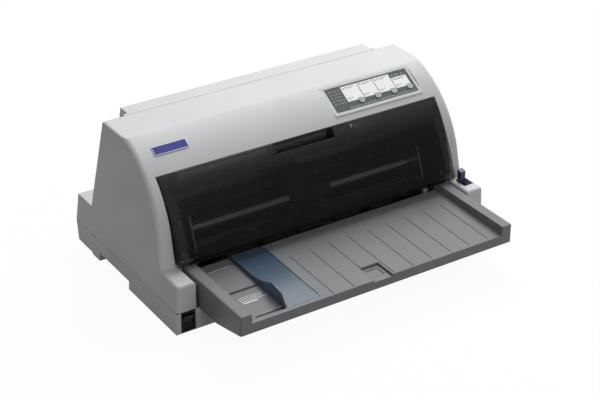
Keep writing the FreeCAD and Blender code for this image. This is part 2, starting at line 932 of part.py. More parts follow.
def make_lower_case():
    above = dim.part_line + OVER
    taper = prism("base_taper", "XZ", [case_front(as_size(0), as_size(0), above)], FRONT, REAR)
    outside = common(
        "base_solid",
        prism("base_length", "YZ", [lower_section(as_size(0), dim.part_line)],
              -dim.case_width / 2, dim.case_width / 2), taper)
    solid = cut("base_with_grips", outside, [grip(side, as_size(0)) for side in SIDES])
    inside = common(
        "base_hollow",
        prism("base_hollow_length", "YZ", [lower_section(dim.case_wall, above)],
              -dim.case_width / 2, dim.case_width / 2),
        prism("base_hollow_taper", "XZ", [case_front(dim.case_wall, as_size(0), above)], FRONT, REAR))
    inside = cut("base_hollow_round_grips", inside, [grip(side, dim.case_wall) for side in SIDES])
    shell = cut("base_shell", solid, [inside])
    posts = case_posts(dim.floor_z, dim.part_line - dim.floor_z, dim.post_radius)
    posts += frame_posts() + board_posts()
    shell = fuse("base_with_posts", [shell] + posts)
    sinks = [
        rod("foot_sink", dim.foot_radius + dim.fit, x, y, dim.floor_z - OVER, OVER + dim.foot_sink, "z")
        for x, y in foot_places()
    ]
    holes = case_posts(dim.floor_z - OVER, dim.part_line + 2 * OVER, dim.screw_radius + dim.fit)
    heads = case_posts(dim.floor_z - OVER, OVER + dim.screw_head_length, dim.screw_head_radius + dim.fit)
    switch = block(
        "switch_window", -dim.switch_place - dim.switch_width / 2 + dim.switch_rim - dim.fit,
        -dim.switch_place + dim.switch_width / 2 - dim.switch_rim + dim.fit, FRONT - OVER,
        FRONT + dim.case_wall + OVER, dim.switch_z - dim.switch_height / 2 + dim.switch_rim - dim.fit,
        dim.switch_z + dim.switch_height / 2 - dim.switch_rim + dim.fit)
    shell = cut("lower_case", shell, sinks + holes + heads + [switch])
    return keep(shell, "lower_case")


def frame_posts():
    """Low posts under the pan of the print mechanism."""
    return [
        rod("frame_post", dim.frame_post_radius, side * dim.frame_post_place, PRINT_Y + run, dim.floor_z,
            dim.frame_low - dim.floor_z, "z")
        for side in SIDES
        for run in (2 * dim.frame_post_radius - dim.frame_front,
                    dim.frame_back - 2 * dim.frame_post_radius)
    ]


def board_posts():
    """Tall posts under the main board and the power supply board."""
    back = REAR - dim.foot_lean - dim.board_depth / 2
    inset = 2 * dim.post_radius
    supply_right = dim.supply_left + dim.supply_width
    places = [inset - dim.board_left, dim.board_width - dim.board_left - inset,
              dim.supply_left + inset, supply_right - inset]
    return [rod("board_post", dim.post_radius, x, back, dim.floor_z, dim.board_z - dim.floor_z, "z")
            for x in places]


def make_feet():
    feet = [
        rod("foot", dim.foot_radius, x, y, 0, dim.floor_z + dim.foot_sink, "z") for x, y in foot_places()
    ]
    return keep(group("rubber_feet", feet), "rubber_feet")


def make_screws():
    screws = []
    for shank, head in zip(
        case_posts(dim.floor_z, dim.screw_length, dim.screw_radius - dim.fit),
        case_posts(dim.floor_z, dim.screw_head_length, dim.screw_head_radius),
    ):
        screws.append(fuse("case_screw", [shank, head]))
    return keep(group("case_screws", screws), "case_screws")


def cover_points():
    """Top and foot of the smoked cover's front curve, and the centre height of its roll."""
    top = (FACE + dim.cover_top_run, dim.window_high - dim.cover_top_gap)
    foot = (
        COVER_Y - dim.roll_radius * cosine(dim.roll_angle),
        dim.cover_axis_z + dim.roll_radius * sine(dim.roll_angle),
    )
    return top, foot


def make_front_cover():
    """A curved plate with a rolled lower edge, two cheeks and a finger scoop at the top."""
    body = new_body("front_cover")
    half = dim.window_half - dim.cover_gap
    wall = dim.cover_wall
    (top_y, top_z), (foot_y, foot_z) = cover_points()
    inner_y = foot_y + wall * cosine(dim.roll_angle)
    plate = [
        (top_y, top_z),
        (top_y + wall, top_z, -(dim.cover_radius - wall)),
        (inner_y, foot_z),
        (foot_y, foot_z, dim.cover_radius),
    ]
    add(body, "YZ", [plate], -half, half, "plate")
    roll = ring(COVER_Y, dim.cover_axis_z, dim.roll_radius)
    add(body, "YZ", [roll], -half, half, "roll")
    cheek = [
        (top_y, top_z),
        (top_y + dim.cover_cheek_depth, top_z),
        (COVER_Y + dim.roll_radius + dim.cover_cheek_depth, dim.cover_axis_z),
        (COVER_Y, dim.cover_axis_z),
        (foot_y, foot_z, dim.cover_radius),
    ]
    add(body, "YZ", [cheek], -half, wall - half, "left_cheek")
    add(body, "YZ", [cheek], half - wall, half, "right_cheek")
    scoop_low = top_z - dim.notch_depth * 2
    scoop_front = COVER_Y + dim.cover_top_run - dim.scoop_depth - wall / 2
    scoop_back = top_y + wall + dim.scoop_depth
    scoop = [
        (scoop_back, scoop_low + wall),
        (scoop_back, scoop_low),
        (scoop_front, scoop_low),
        (scoop_front + wall / 2, scoop_low + wall),
    ]
    add(body, "YZ", [scoop], -dim.notch_half - wall, dim.notch_half + wall, "scoop_floor")
    cheek_of_scoop = [
        (top_y + wall / 2, top_z),
        (scoop_back, top_z),
        (scoop_back, scoop_low),
        (scoop_front, scoop_low),
    ]
    for side in SIDES:
        low = dim.notch_half if side == RIGHT else -dim.notch_half - wall
        add(body, "YZ", [cheek_of_scoop], low, low + wall, "scoop_side")
    back = rectangle(scoop_back - wall, scoop_back, scoop_low, top_z)
    add(body, "YZ", [back], -dim.notch_half - wall, dim.notch_half + wall, "scoop_back")
    notch = rectangle(-dim.notch_half, dim.notch_half, top_z - dim.notch_depth, top_z + OVER)
    remove(body, "XZ", [notch], COVER_Y, top_y + dim.scoop_depth, "finger_notch")
    hollow = dim.roll_radius - wall
    reach = dim.knuckle_place - dim.knuckle_width
    remove(body, "YZ", [ring(COVER_Y, dim.cover_axis_z, hollow)], -reach, reach, "roll_hollow")
    for side in SIDES:
        place = side * dim.knuckle_place
        reach = dim.knuckle_width / 2 + dim.running_gap
        clear = dim.knuckle_radius + dim.running_gap
        eye = ring(COVER_Y, dim.cover_axis_z, clear)
        remove(body, "YZ", [eye], place - reach, place + reach, "eye_room")
        behind = rectangle(COVER_Y, COVER_Y + dim.roll_radius + OVER, dim.window_low - OVER,
                           dim.cover_axis_z + dim.roll_radius + OVER)
        remove(body, "YZ", [behind], place - reach, place + reach, "arm_room")
        under = rectangle(COVER_Y - dim.roll_radius - OVER, COVER_Y, dim.window_low - OVER,
                          dim.cover_axis_z - dim.knuckle_arm / 2)
        remove(body, "YZ", [under], place - reach, place + reach, "lower_room")
        bore = ring(COVER_Y, dim.cover_axis_z, dim.hinge_pin_radius + dim.fit)
        reach = dim.knuckle_width * 3 / 2 + dim.running_gap
        remove(body, "YZ", [bore], place - reach, place + reach, "pin_bore")
    return keep(body, "front_cover")


def make_hinge_pins():
    """Steel pins of both hinges, each in its ear or knuckle and the cover."""
    length = dim.knuckle_width * 3
    pins = [
        rod("cover_pin", dim.hinge_pin_radius, side * dim.knuckle_place - length / 2, COVER_Y,
            dim.cover_axis_z, length)
        for side in SIDES
    ]
    keep(group("cover_hinge_pins", pins), "cover_hinge_pins")
    length = dim.ear_width * 2
    radius = dim.rear_axis_radius
    pins = [
        rod("rear_pin", dim.hinge_pin_radius,
            side * (dim.rear_cover_half + dim.running_gap) - length / 2, ROOF_BACK + radius,
            dim.case_height - radius, length)
        for side in SIDES
    ]
    keep(group("rear_hinge_pins", pins), "rear_hinge_pins")


def make_rear_cover():
    """The lid behind the roof: roof strip, leaning back, two cheeks and a rolled front edge."""
    body = new_body("rear_cover")
    half = dim.rear_cover_half
    wall = dim.case_wall
    radius = dim.rear_axis_radius
    axis_y = ROOF_BACK + radius
    axis_z = dim.case_height - radius
    roof_end = ROOF_BACK + dim.rear_cover_roof
    low_y = roof_end + dim.rear_cover_lean
    outline = [
        (axis_y, axis_z),
        (axis_y, dim.case_height),
        (roof_end, dim.case_height),
        (low_y, dim.rear_cover_low),
        (low_y - wall, dim.rear_cover_low),
        (roof_end - wall, dim.case_height - wall),
        (axis_y + wall, dim.case_height - wall),
    ]
    add(body, "YZ", [outline], -half, half, "skin")
    gap = dim.running_gap * 2
    cheek_top = axis_z - radius * 2
    cheek = [
        (axis_y, dim.case_height),
        (roof_end, dim.case_height),
        (low_y, dim.rear_cover_low),
        (rear_wall(dim.rear_cover_low) + gap, dim.rear_cover_low),
        (rear_wall(cheek_top) + gap, cheek_top),
        (axis_y, axis_z),
    ]
    add(body, "YZ", [cheek], -half, wall - half, "left_cheek")
    add(body, "YZ", [cheek], half - wall, half, "right_cheek")
    add(body, "YZ", [ring(axis_y, axis_z, radius)], -half, half, "roll")
    bore = ring(axis_y, axis_z, dim.hinge_pin_radius + dim.fit)
    remove(body, "YZ", [bore], -half - OVER, dim.ear_width - half, "left_bore")
    remove(body, "YZ", [bore], half - dim.ear_width, half + OVER, "right_bore")
    return keep(body, "rear_cover")


def tray_surface(y):
    """Height of the tray's sloping surface."""
    share = (y - TRAY_FRONT) / (FACE - TRAY_FRONT)
    return dim.tray_front_z + (dim.tray_back_z - dim.tray_front_z) * share


def sloped_strip(front, back, up, down):
    """A strip along the tray's surface, from up above it to down below it."""
    return [
        (front, tray_surface(front) + up),
        (front, tray_surface(front) - down),
        (back, tray_surface(back) - down),
        (back, tray_surface(back) + up),
    ]


def make_front_tray():
    """A moulded tray, open underneath, with side rails, pocket, grooves and a sleeve."""
    body = new_body("front_tray")
    half = dim.tray_half
    wall = dim.tray_wall
    belly_front = TRAY_FRONT + dim.tray_slope_run
    back = FACE - dim.running_gap
    deck = [
        (TRAY_FRONT, dim.tray_front_z),
        (TRAY_FRONT, dim.tray_chin_z),
        (belly_front, dim.tray_belly_z),
        (FRONT - dim.running_gap, dim.tray_belly_z),
        (FRONT - dim.running_gap, dim.part_line),
        (back, dim.part_line),
        (back, tray_surface(back)),
    ]
    add(body, "YZ", [deck], -half, half, "deck")
    rail = [
        (TRAY_FRONT, dim.tray_front_z - wall),
        (back, dim.tray_front_z - wall),
        (back, dim.tray_rail_z),
        (TRAY_FRONT, dim.tray_rail_z),
    ]
    add(body, "YZ", [rail], -half, dim.tray_rail - half, "left_rail")
    add(body, "YZ", [rail], half - dim.tray_rail, half, "right_rail")
    round_edges(body, dim.tray_wall, on_tray_corner)
    pocket_depth = dim.guide_thick + dim.slide_gap
    pocket_front = TRAY_FRONT + dim.tray_rim * 2
    inner = half - dim.tray_rail
    # Underside: one hollow below the deck, a lower one below the pocket, and the rails
    right = rectangle(-dim.guide_right + wall, inner, TRAY_FRONT + wall, back - wall)
    under_deck = dim.tray_front_z - wall
    remove(body, "XY", [right], -OVER, under_deck, "hollow")
    left = rectangle(-inner, -dim.guide_right, TRAY_FRONT + wall, back - wall)
    remove(body, "XY", [left], -OVER, under_deck - pocket_depth, "pocket_hollow")
    for side in SIDES:
        low = side * (half - dim.tray_rail / 2) - dim.tray_rail / 2 + wall
        strip = rectangle(low, low + dim.tray_rail - wall * 2, TRAY_FRONT + wall, back - wall)
        remove(body, "XY", [strip], -OVER, dim.tray_rail_z - wall, "rail_hollow")
    sleeve_half = dim.support_width / 2 + wall
    sleeve_back = TRAY_FRONT + dim.support_length + wall + dim.tray_rim
    sleeve = rectangle(dim.support_centre - sleeve_half, dim.support_centre + sleeve_half,
                       TRAY_FRONT + wall, sleeve_back)
    add(body, "XY", [sleeve], dim.support_low - wall, dim.tray_front_z - wall / 2, "sleeve")
    rib = rectangle(-inner, inner, sleeve_back + wall * 3, sleeve_back + wall * 3 + dim.tray_rib)
    under_pocket = under_deck - pocket_depth
    add(body, "XY", [rib], under_pocket - dim.tray_rib_depth, under_deck - pocket_depth / 2, "rib")
    # Edge guide pocket with its keyway, then the grooves
    pocket = sloped_strip(pocket_front, back + OVER, OVER, pocket_depth)
    remove(body, "YZ", [pocket], -dim.guide_pocket_half, -dim.guide_right, "guide_pocket")
    key_y = guide_key()
    keyway = rectangle(-dim.guide_pocket_half + wall, -dim.guide_right - wall,
                       key_y - dim.key_width / 2 - dim.slide_gap, key_y + dim.key_width / 2 + dim.slide_gap)
    remove(body, "XY", [keyway], under_pocket - OVER, dim.tray_front_z, "keyway")
    cavity = rectangle(dim.support_centre - dim.support_width / 2 - dim.slide_gap,
                       dim.support_centre + dim.support_width / 2 + dim.slide_gap,
                       TRAY_FRONT - OVER, sleeve_back - wall)
    remove(body, "XY", [cavity], dim.support_low - dim.slide_gap,
           dim.support_low + dim.support_thick + dim.slide_gap, "support_cavity")
    thumb = rectangle(dim.support_centre - dim.thumb_width / 2, dim.support_centre + dim.thumb_width / 2,
                      TRAY_FRONT - OVER, TRAY_FRONT + dim.thumb_length)
    remove(body, "XY", [thumb], dim.support_low - dim.slide_gap, dim.tray_back_z + OVER, "thumb_window")
    groove_back = TRAY_FRONT + dim.tray_rim + dim.groove_length
    groove = sloped_strip(TRAY_FRONT + dim.tray_rim, groove_back, OVER, dim.groove_depth)
    low = -dim.groove_start - dim.groove_width / 2
    first = remove(body, "YZ", [groove], low, low + dim.groove_width, "groove")
    along(body, first, "X_Axis", dim.groove_pitch, dim.groove_count)
    return keep(body, "front_tray")


def on_tray_corner(edge):
    """The upright corners at the front of the tray and the outer top edges of its rails."""
    middle = edge.CenterOfMass
    upright = is_near(middle.y, TRAY_FRONT) and is_line_along(edge, "z")
    top = is_near(middle.z, dim.tray_rail_z) and is_line_along(edge, "y")
    return is_near(abs(middle.x), dim.tray_half) and (upright or top)


def guide_key():
    return (TRAY_FRONT + FACE) / 2


def make_edge_guide():
    """The sliding paper edge guide: a flush plate, a curved fin and a key below."""
    body = new_body("edge_guide")
    left = -dim.guide_right - dim.guide_width
    front = TRAY_FRONT + dim.tray_rim * 2 + dim.slide_gap
    back = FACE - dim.running_gap
    plate = sloped_strip(front, back, as_size(0), dim.guide_thick)
    add(body, "YZ", [plate], left, -dim.guide_right - dim.slide_gap, "plate")
    crest_y = front + dim.fin_setback
    crest_z = tray_surface(crest_y) + dim.fin_peak
    tail_y = front + (back - front) * dim.fin_tail_share
    fin = [
        (front, tray_surface(front) - dim.guide_thick / 2),
        (back, tray_surface(back) - dim.guide_thick / 2),
        (back, tray_surface(back) + dim.fin_thick, -dim.case_width),
        (tail_y, tray_surface(tail_y) + dim.fin_thick * 2, dim.fin_sweep_radius),
        (crest_y + dim.fin_crest / 2, crest_z, -dim.fin_crest_radius),
        (crest_y - dim.fin_crest / 2, crest_z - dim.fin_thick),
    ]
    add(body, "YZ", [fin], left, left + dim.fin_thick, "fin")
    key_y = guide_key()
    key_top = tray_surface(key_y) - dim.guide_thick / 2
    key = rectangle(left + dim.tray_wall * 2, left + dim.guide_width - dim.tray_wall * 2,
                    key_y - dim.key_width / 2, key_y + dim.key_width / 2)
    add(body, "XY", [key], key_top - dim.guide_thick / 2 - dim.key_depth, key_top, "key")
    return keep(body, "edge_guide")


def make_paper_support():
    """The flat support that pulls out of the front of the tray."""
    body = new_body("paper_support")
    low = dim.support_low
    high = low + dim.support_thick
    half = dim.support_width / 2
    centre = dim.support_centre
    plate = rectangle(centre - half, centre + half, TRAY_FRONT, TRAY_FRONT + dim.support_length)
    add(body, "XY", [plate], low, high, "plate")
    round_edges(body, dim.support_thick, on_support_corner)
    grip_half = dim.thumb_width / 2 - dim.tray_wall * 2
    grip_front = TRAY_FRONT + dim.thumb_length / 3
    dish = rectangle(centre - grip_half, centre + grip_half, grip_front, grip_front + dim.thumb_length / 2)
    remove(body, "XY", [dish], high - dim.support_thick / 3, high + OVER, "finger_dish")
    return keep(body, "paper_support")


def on_support_corner(edge):
    at_back = is_near(edge.CenterOfMass.y, TRAY_FRONT + dim.support_length)
    return at_back and is_line_along(edge, "z")


def button_x(number):
    return dim.button_first + number * dim.button_pitch


def button_y():
    """Height of the button row up the panel's slope, from the middle of the panel."""
    return dim.button_up - dim.panel_length / 2


def button_numbers():
    return range(dim.button_count.value)


def make_control_panel():
    """The fascia in the sloping recess, with four holes for the buttons."""
    body = new_body("control_panel")
    add(body, "XY", [panel_outline(as_size(0))], -dim.panel_thick, 0, "fascia")
    round_edges(body, dim.panel_thick / 2, on_upright_edge)
    holes = [ring(button_x(number), button_y(), dim.button_radius + dim.running_gap)
             for number in button_numbers()]
    remove(body, "XY", holes, -dim.panel_thick - OVER, OVER, "button_holes")
    for x in (dim.panel_left + dim.panel_margin, dim.panel_right - dim.panel_margin):
        post = ring(x, 0, dim.panel_margin / 2)
        low = -dim.panel_thick - button_depth()
        add(body, "XY", [post], low, -dim.panel_thick / 2, "board_post")
    panel_frame(body)
    return keep(body, "control_panel")


def button_depth():
    """Free height between the fascia and the button board."""
    return dim.button_travel + dim.running_gap + dim.dome_height + dim.panel_thick / 2


def on_upright_edge(edge):
    return is_line_along(edge, "z")


def make_buttons():
    for number in button_numbers():
        body = new_body("panel_button_%d" % (number + 1))
        centre = [ring(0, 0, dim.button_radius)]
        flange = [ring(0, 0, dim.button_flange)]
        add(body, "XY", centre, -dim.panel_thick, dim.button_rise, "cap")
        add(body, "XY", flange, -dim.panel_thick - dim.panel_thick / 2, -dim.panel_thick, "flange")
        round_edges(body, dim.button_rise / 3, on_button_rim)
        panel_frame(body)
        slope_y = button_y()
        middle = dim.panel_length / 2
        bind(body, "Placement.Base.x", button_x(number))
        bind(body, "Placement.Base.y",
             FACE + dim.panel_low_run + (middle + slope_y) * cosine(dim.panel_tilt))
        bind(body, "Placement.Base.z", dim.panel_low_z + (middle + slope_y) * sine(dim.panel_tilt))
        keep(body, "panel_button_%d" % (number + 1))


def on_button_rim(edge):
    return is_near(edge.CenterOfMass.z, dim.button_rise)


def make_button_board():
    """The small board behind the fascia with a dome switch under each button."""
    body = new_body("button_board")
    top = -dim.panel_thick - button_depth()
    half = dim.panel_length / 2 - dim.panel_margin - dim.case_wall
    board = rectangle(dim.panel_left + dim.case_wall, dim.panel_right - dim.case_wall, -half, half)
    add(body, "XY", [board], top - dim.board_thick, top, "board")
    domes = [ring(button_x(number), button_y(), dim.button_radius / 2) for number in button_numbers()]
    add(body, "XY", domes, top - dim.board_thick / 2, top + dim.dome_height, "domes")
    panel_frame(body)
    return keep(body, "button_board")


def make_badge():
    """The blank name plate, set in the front of the case."""
    body = new_body("badge_plate")
    half = dim.badge_thick / 2
    add(body, "XY", [badge_outline(as_size(0))], -half, half, "plate")
    round_edges(body, half, on_upright_edge)
    badge_frame(body)
    return keep(body, "badge_plate")


def make_switch():
    """The frame of the power switch in the front of the case, and its rocker."""
    body = new_body("switch_housing")
    half = dim.switch_width / 2
    tall = dim.switch_height / 2
    rim = rectangle(-half, half, -tall, tall)
    add(body, "XZ", [rim], -dim.switch_rim / 2, 0, "rim")
    inset = dim.switch_rim
    barrel = rectangle(inset - half, half - inset, inset - tall, tall - inset)
    add(body, "XZ", [barrel], 0, dim.switch_depth, "barrel")
    well_half = dim.rocker_width / 2 + dim.running_gap
    well_tall = dim.rocker_height / 2 + dim.switch_rim / 2
    well = rectangle(-well_half, well_half, -well_tall, well_tall)
    remove(body, "XZ", [well], -OVER, dim.switch_depth / 2, "well")
    tabs = [rectangle(side * dim.rocker_width / 4 - inset / 2, side * dim.rocker_width / 4 + inset / 2,
                      -inset * 2, inset * 2) for side in SIDES]
    add(body, "XZ", tabs, dim.switch_depth - inset, dim.switch_depth + inset * 2, "tabs")
    seat_y = ROCKER_AXIS + dim.rocker_height / 5
    seat = rectangle(-half + inset, half - inset, -dim.switch_rim / 2, dim.switch_rim / 2)
    add(body, "XZ", [seat], seat_y + dim.running_gap, dim.switch_depth / 2 + inset, "seat")
    move_to(body, -dim.switch_place, FRONT, dim.switch_z)
    keep(body, "switch_housing")
    rocker = new_body("power_rocker")
    tall = dim.rocker_height / 2
    lip = ROCKER_AXIS + dim.switch_rim
    outline = [
        (-lip, -tall),
        (dim.switch_rim / 2 - ROCKER_AXIS, 0),
        (-lip, tall),
        (-dim.switch_rim / 2, tall - dim.switch_rim / 2),
        (dim.rocker_height / 5, dim.rocker_height / 8),
        (dim.rocker_height / 5, -dim.rocker_height / 8),
        (-dim.switch_rim / 2, dim.switch_rim / 2 - tall),
    ]
    add(rocker, "YZ", [outline], -dim.rocker_width / 2, dim.rocker_width / 2, "rocker")
    move_to(rocker, -dim.switch_place, FRONT + ROCKER_AXIS, dim.switch_z, (1, 0, 0), dim.rocker_tilt)
    keep(rocker, "power_rocker")


ROCKER_AXIS = dim.switch_depth / 5


def make_release_lever():
    """The paper release lever in the right shoulder, and the bracket with its pin."""
    lever_y = FRONT + dim.lever_setback
    half = dim.lever_width / 2
    thick = dim.lever_thick / 2
    top = dim.lever_top_z - dim.lever_axis_z
    lever = new_body("release_lever")
    blade = [
        (-thick, 0),
        (thick, 0),
        (thick, top),
        (-thick, top - thick / 2),
    ]
    add(lever, "YZ", [blade], -half, half, "blade")
    add(lever, "YZ", [ring(0, 0, dim.lever_thick)], -half, half, "hub")
    bore = ring(0, 0, dim.lever_thick / 2 + dim.fit)
    remove(lever, "YZ", [bore], -half - OVER, half + OVER, "bore")
    move_to(lever, dim.lever_place, lever_y, dim.lever_axis_z)
    keep(lever, "release_lever")
    bracket = new_body("lever_bracket")
    near = half + dim.running_gap
    post = [
        (-dim.lever_thick, FLOOR - dim.lever_axis_z),
        (dim.lever_thick, FLOOR - dim.lever_axis_z),
        (dim.lever_thick, 0, -dim.lever_thick - dim.fit),
        (-dim.lever_thick, 0),
    ]
    add(bracket, "YZ", [post], near, near + dim.case_wall, "post")
    foot = rectangle(near, near + dim.case_wall * 2, -dim.lever_thick, dim.lever_thick)
    low = FLOOR - dim.lever_axis_z
    add(bracket, "XY", [foot], low, low + dim.case_wall, "foot")
    pin = ring(0, 0, dim.lever_thick / 2)
    add(bracket, "YZ", [pin], -half - dim.running_gap, near + dim.case_wall / 2, "pin")
    move_to(bracket, dim.lever_place, lever_y, dim.lever_axis_z)
    keep(bracket, "lever_bracket")


# The mechanism: gears stand outside the right side frame
TRAIN_RADIUS = dim.gear_module * dim.train_teeth / 2
ROLLER_RADIUS = dim.gear_module * dim.roller_teeth / 2
PINION_RADIUS = dim.gear_module * dim.pinion_teeth / 2
RELAY_RADIUS = dim.gear_module * dim.relay_teeth / 2
FEED_Z = PAPER - dim.feed_roller_radius
PINCH_Z = PAPER + dim.nip_gap + dim.pinch_roller_radius
FRONT_ROLLER_Y = PRINT_Y - TRAIN_RADIUS - ROLLER_RADIUS
REAR_ROLLER_Y = PRINT_Y + TRAIN_RADIUS + ROLLER_RADIUS
PINION_Y = PRINT_Y + (TRAIN_RADIUS + PINION_RADIUS) * cosine(dim.pinion_angle)
PINION_Z = FEED_Z - (TRAIN_RADIUS + PINION_RADIUS) * sine(dim.pinion_angle)
RELAY_Y = REAR_ROLLER_Y + (ROLLER_RADIUS + RELAY_RADIUS) * cosine(dim.relay_angle)
RELAY_Z = FEED_Z + (ROLLER_RADIUS + RELAY_RADIUS) * sine(dim.relay_angle)
TRACTOR_Y = RELAY_Y + (ROLLER_RADIUS + RELAY_RADIUS) * cosine(dim.relay_angle)
TRACTOR_Z = RELAY_Z + (ROLLER_RADIUS + RELAY_RADIUS) * sine(dim.relay_angle)
ROD_Y = TRACTOR_Y
ROD_Z = TRACTOR_Z + dim.tractor_radius + dim.rod_radius
SHAFT_Y = PRINT_Y - dim.guide_shaft_ahead
SHAFT_Z = dim.guide_shaft_z
RAIL_Y = PRINT_Y + dim.rail_behind
BELT_Y = PRINT_Y + dim.belt_behind
FRAME_OUT = dim.frame_half + dim.frame_sheet
GEAR_LOW = FRAME_OUT + dim.gear_gap
PAN_TOP = dim.frame_low + dim.frame_sheet


def frame_bores():
    """The holes that both side frames have for shafts, with their own clearances."""
    fit = dim.fit
    return [
        ring(SHAFT_Y, SHAFT_Z, dim.guide_shaft_radius + fit),
        ring(FRONT_ROLLER_Y, FEED_Z, dim.feed_shaft_radius + fit),
        ring(REAR_ROLLER_Y, FEED_Z, dim.feed_shaft_radius + fit),
        ring(FRONT_ROLLER_Y, PINCH_Z, dim.pinch_shaft_radius + fit),
        ring(REAR_ROLLER_Y, PINCH_Z, dim.pinch_shaft_radius + fit),
        ring(TRACTOR_Y, TRACTOR_Z, dim.feed_shaft_radius + fit),
        ring(ROD_Y, ROD_Z, dim.rod_radius + fit),
    ]


def make_side_frames():
    """Pressed steel side plates that carry every shaft of the mechanism."""
    front = PRINT_Y - dim.frame_front
    back = PRINT_Y + dim.frame_back
    plate = [
        (front, dim.frame_low),
        (back, dim.frame_low),
        (back, dim.paper_z),
        (ROD_Y + dim.tractor_radius, dim.frame_top),
        (front + dim.frame_post_radius * 3, dim.frame_top),
        (front, SHAFT_Z - dim.guide_shaft_radius * 2),
    ]
    for side, name in ((LEFT, "side_frame_left"), (RIGHT, "side_frame_right")):
        body = new_body(name)
        low = dim.frame_half if side == RIGHT else -FRAME_OUT
        add(body, "YZ", [plate], low, low + dim.frame_sheet, "plate")
        # Folded foot flange, inwards over the pan
        flange_low = side * (dim.frame_half - dim.frame_post_radius) - dim.frame_post_radius
        flange = rectangle(flange_low, flange_low + 2 * dim.frame_post_radius, front, back)
        add(body, "XY", [flange], PAN_TOP, PAN_TOP + dim.frame_sheet, "foot_flange")
        bores = frame_bores()
        if side == RIGHT:
            bores.append(ring(PINION_Y, PINION_Z, dim.axle_radius * 2))
        remove(body, "YZ", bores, low - OVER, low + dim.frame_sheet + OVER, "bores")
        if side == RIGHT:
            for y, z in ((PRINT_Y, FEED_Z), (RELAY_Y, RELAY_Z)):
                axle = ring(y, z, dim.axle_radius)
                add(body, "YZ", [axle], low + dim.frame_sheet / 2, GEAR_LOW + dim.gear_width, "gear_axle")
        window = rectangle(PRINT_Y - dim.rail_behind / 2, PRINT_Y + dim.rail_behind,
                           SHAFT_Z + dim.bearing_wall, dim.frame_top - dim.bearing_wall * 2)
        if side == LEFT:
            remove(body, "YZ", [window], low - OVER, low + dim.frame_sheet + OVER, "lightening")
        keep(body, name)


def make_base_frame():
    """The pressed pan that ties the side frames together."""
    body = new_body("base_frame")
    front = PRINT_Y - dim.frame_front
    back = PRINT_Y + dim.frame_back
    half = dim.frame_half
    pan = rectangle(-half, half, front, back)
    add(body, "XY", [pan], dim.frame_low, PAN_TOP, "pan")
    inner = half - dim.frame_post_radius * 2
    lips = [rectangle(-inner, inner, front, front + dim.frame_sheet),
            rectangle(-inner, inner, back - dim.frame_sheet, back)]
    add(body, "XY", lips, dim.frame_low, PAN_TOP + dim.frame_post_radius * 2, "lips")
    left = -dim.board_left
    opening = rectangle(left, left + dim.pan_window_width, PRINT_Y, PRINT_Y + dim.frame_front)
    window = remove(body, "XY", [opening], dim.frame_low - OVER, PAN_TOP + OVER, "opening")
    along(body, window, "X_Axis", dim.pan_window_pitch, dim.pan_window_count)
    return keep(body, "base_frame")


def make_rollers():
    """Rubber sleeves on steel shafts: two driven feed rollers and two pinch rollers above them."""
    feed = (dim.feed_shaft_radius, dim.feed_roller_radius, GEAR_LOW + dim.gear_width)
    pinch = (dim.pinch_shaft_radius, dim.pinch_roller_radius, FRAME_OUT)
    for name, y, z, (shaft, sleeve, end) in (
        ("front_feed_roller", FRONT_ROLLER_Y, FEED_Z, feed),
        ("rear_feed_roller", REAR_ROLLER_Y, FEED_Z, feed),
        ("front_pinch_roller", FRONT_ROLLER_Y, PINCH_Z, pinch),
        ("rear_pinch_roller", REAR_ROLLER_Y, PINCH_Z, pinch),
    ):
        body = new_body(name)
        add(body, "YZ", [ring(0, 0, shaft)], -FRAME_OUT, end, "shaft")
        low = (1 - dim.sleeve_count) * dim.sleeve_pitch / 2 - dim.sleeve_length / 2
        rubber = add(body, "YZ", [ring(0, 0, sleeve)], low, low + dim.sleeve_length, "sleeve")
        along(body, rubber, "X_Axis", dim.sleeve_pitch, dim.sleeve_count)
        move_to(body, 0, y, z)
        keep(body, name)


def make_platen():
    """The flat platen bar under the print head, with a crowned top and end feet."""
    body = new_body("platen")
    half = dim.platen_width / 2
    outline = [
        (PRINT_Y - half, PAPER - dim.platen_height),
        (PRINT_Y + half, PAPER - dim.platen_height),
        (PRINT_Y + half, PAPER - dim.platen_height / 5, -dim.platen_crown),
        (PRINT_Y - half, PAPER - dim.platen_height / 5),
    ]
    add(body, "YZ", [outline], -dim.frame_half, dim.frame_half, "bar")
    return keep(body, "platen")


def make_guide_rails():
    """The carriage's round front shaft and the folded rear rail."""
    shaft = new_body("guide_shaft")
    add(shaft, "YZ", [ring(0, 0, dim.guide_shaft_radius)], -FRAME_OUT, FRAME_OUT, "shaft")
    round_edges(shaft, dim.frame_sheet / 2, on_shaft_end, "PartDesign::Chamfer")
    move_to(shaft, 0, SHAFT_Y, SHAFT_Z)
    keep(shaft, "guide_shaft")
    rail = new_body("guide_rail")
    flange_top = dim.rail_low + dim.rail_sheet
    section = [
        (RAIL_Y, dim.rail_low),
        (RAIL_Y + dim.rail_flange, dim.rail_low),
        (RAIL_Y + dim.rail_flange, flange_top),
        (RAIL_Y + dim.rail_sheet, flange_top),
        (RAIL_Y + dim.rail_sheet, dim.rail_low + dim.rail_web),
        (RAIL_Y, dim.rail_low + dim.rail_web),
    ]
    add(rail, "YZ", [section], -dim.frame_half, dim.frame_half, "section")
    holes = [ring(side * dim.pulley_place, BELT_Y, dim.axle_radius * 2) for side in SIDES]
    remove(rail, "XY", holes, dim.rail_low - OVER, flange_top + OVER, "holes")
    keep(rail, "guide_rail")


def on_shaft_end(edge):
    return abs(edge.CenterOfMass.x) > dim.frame_half.value


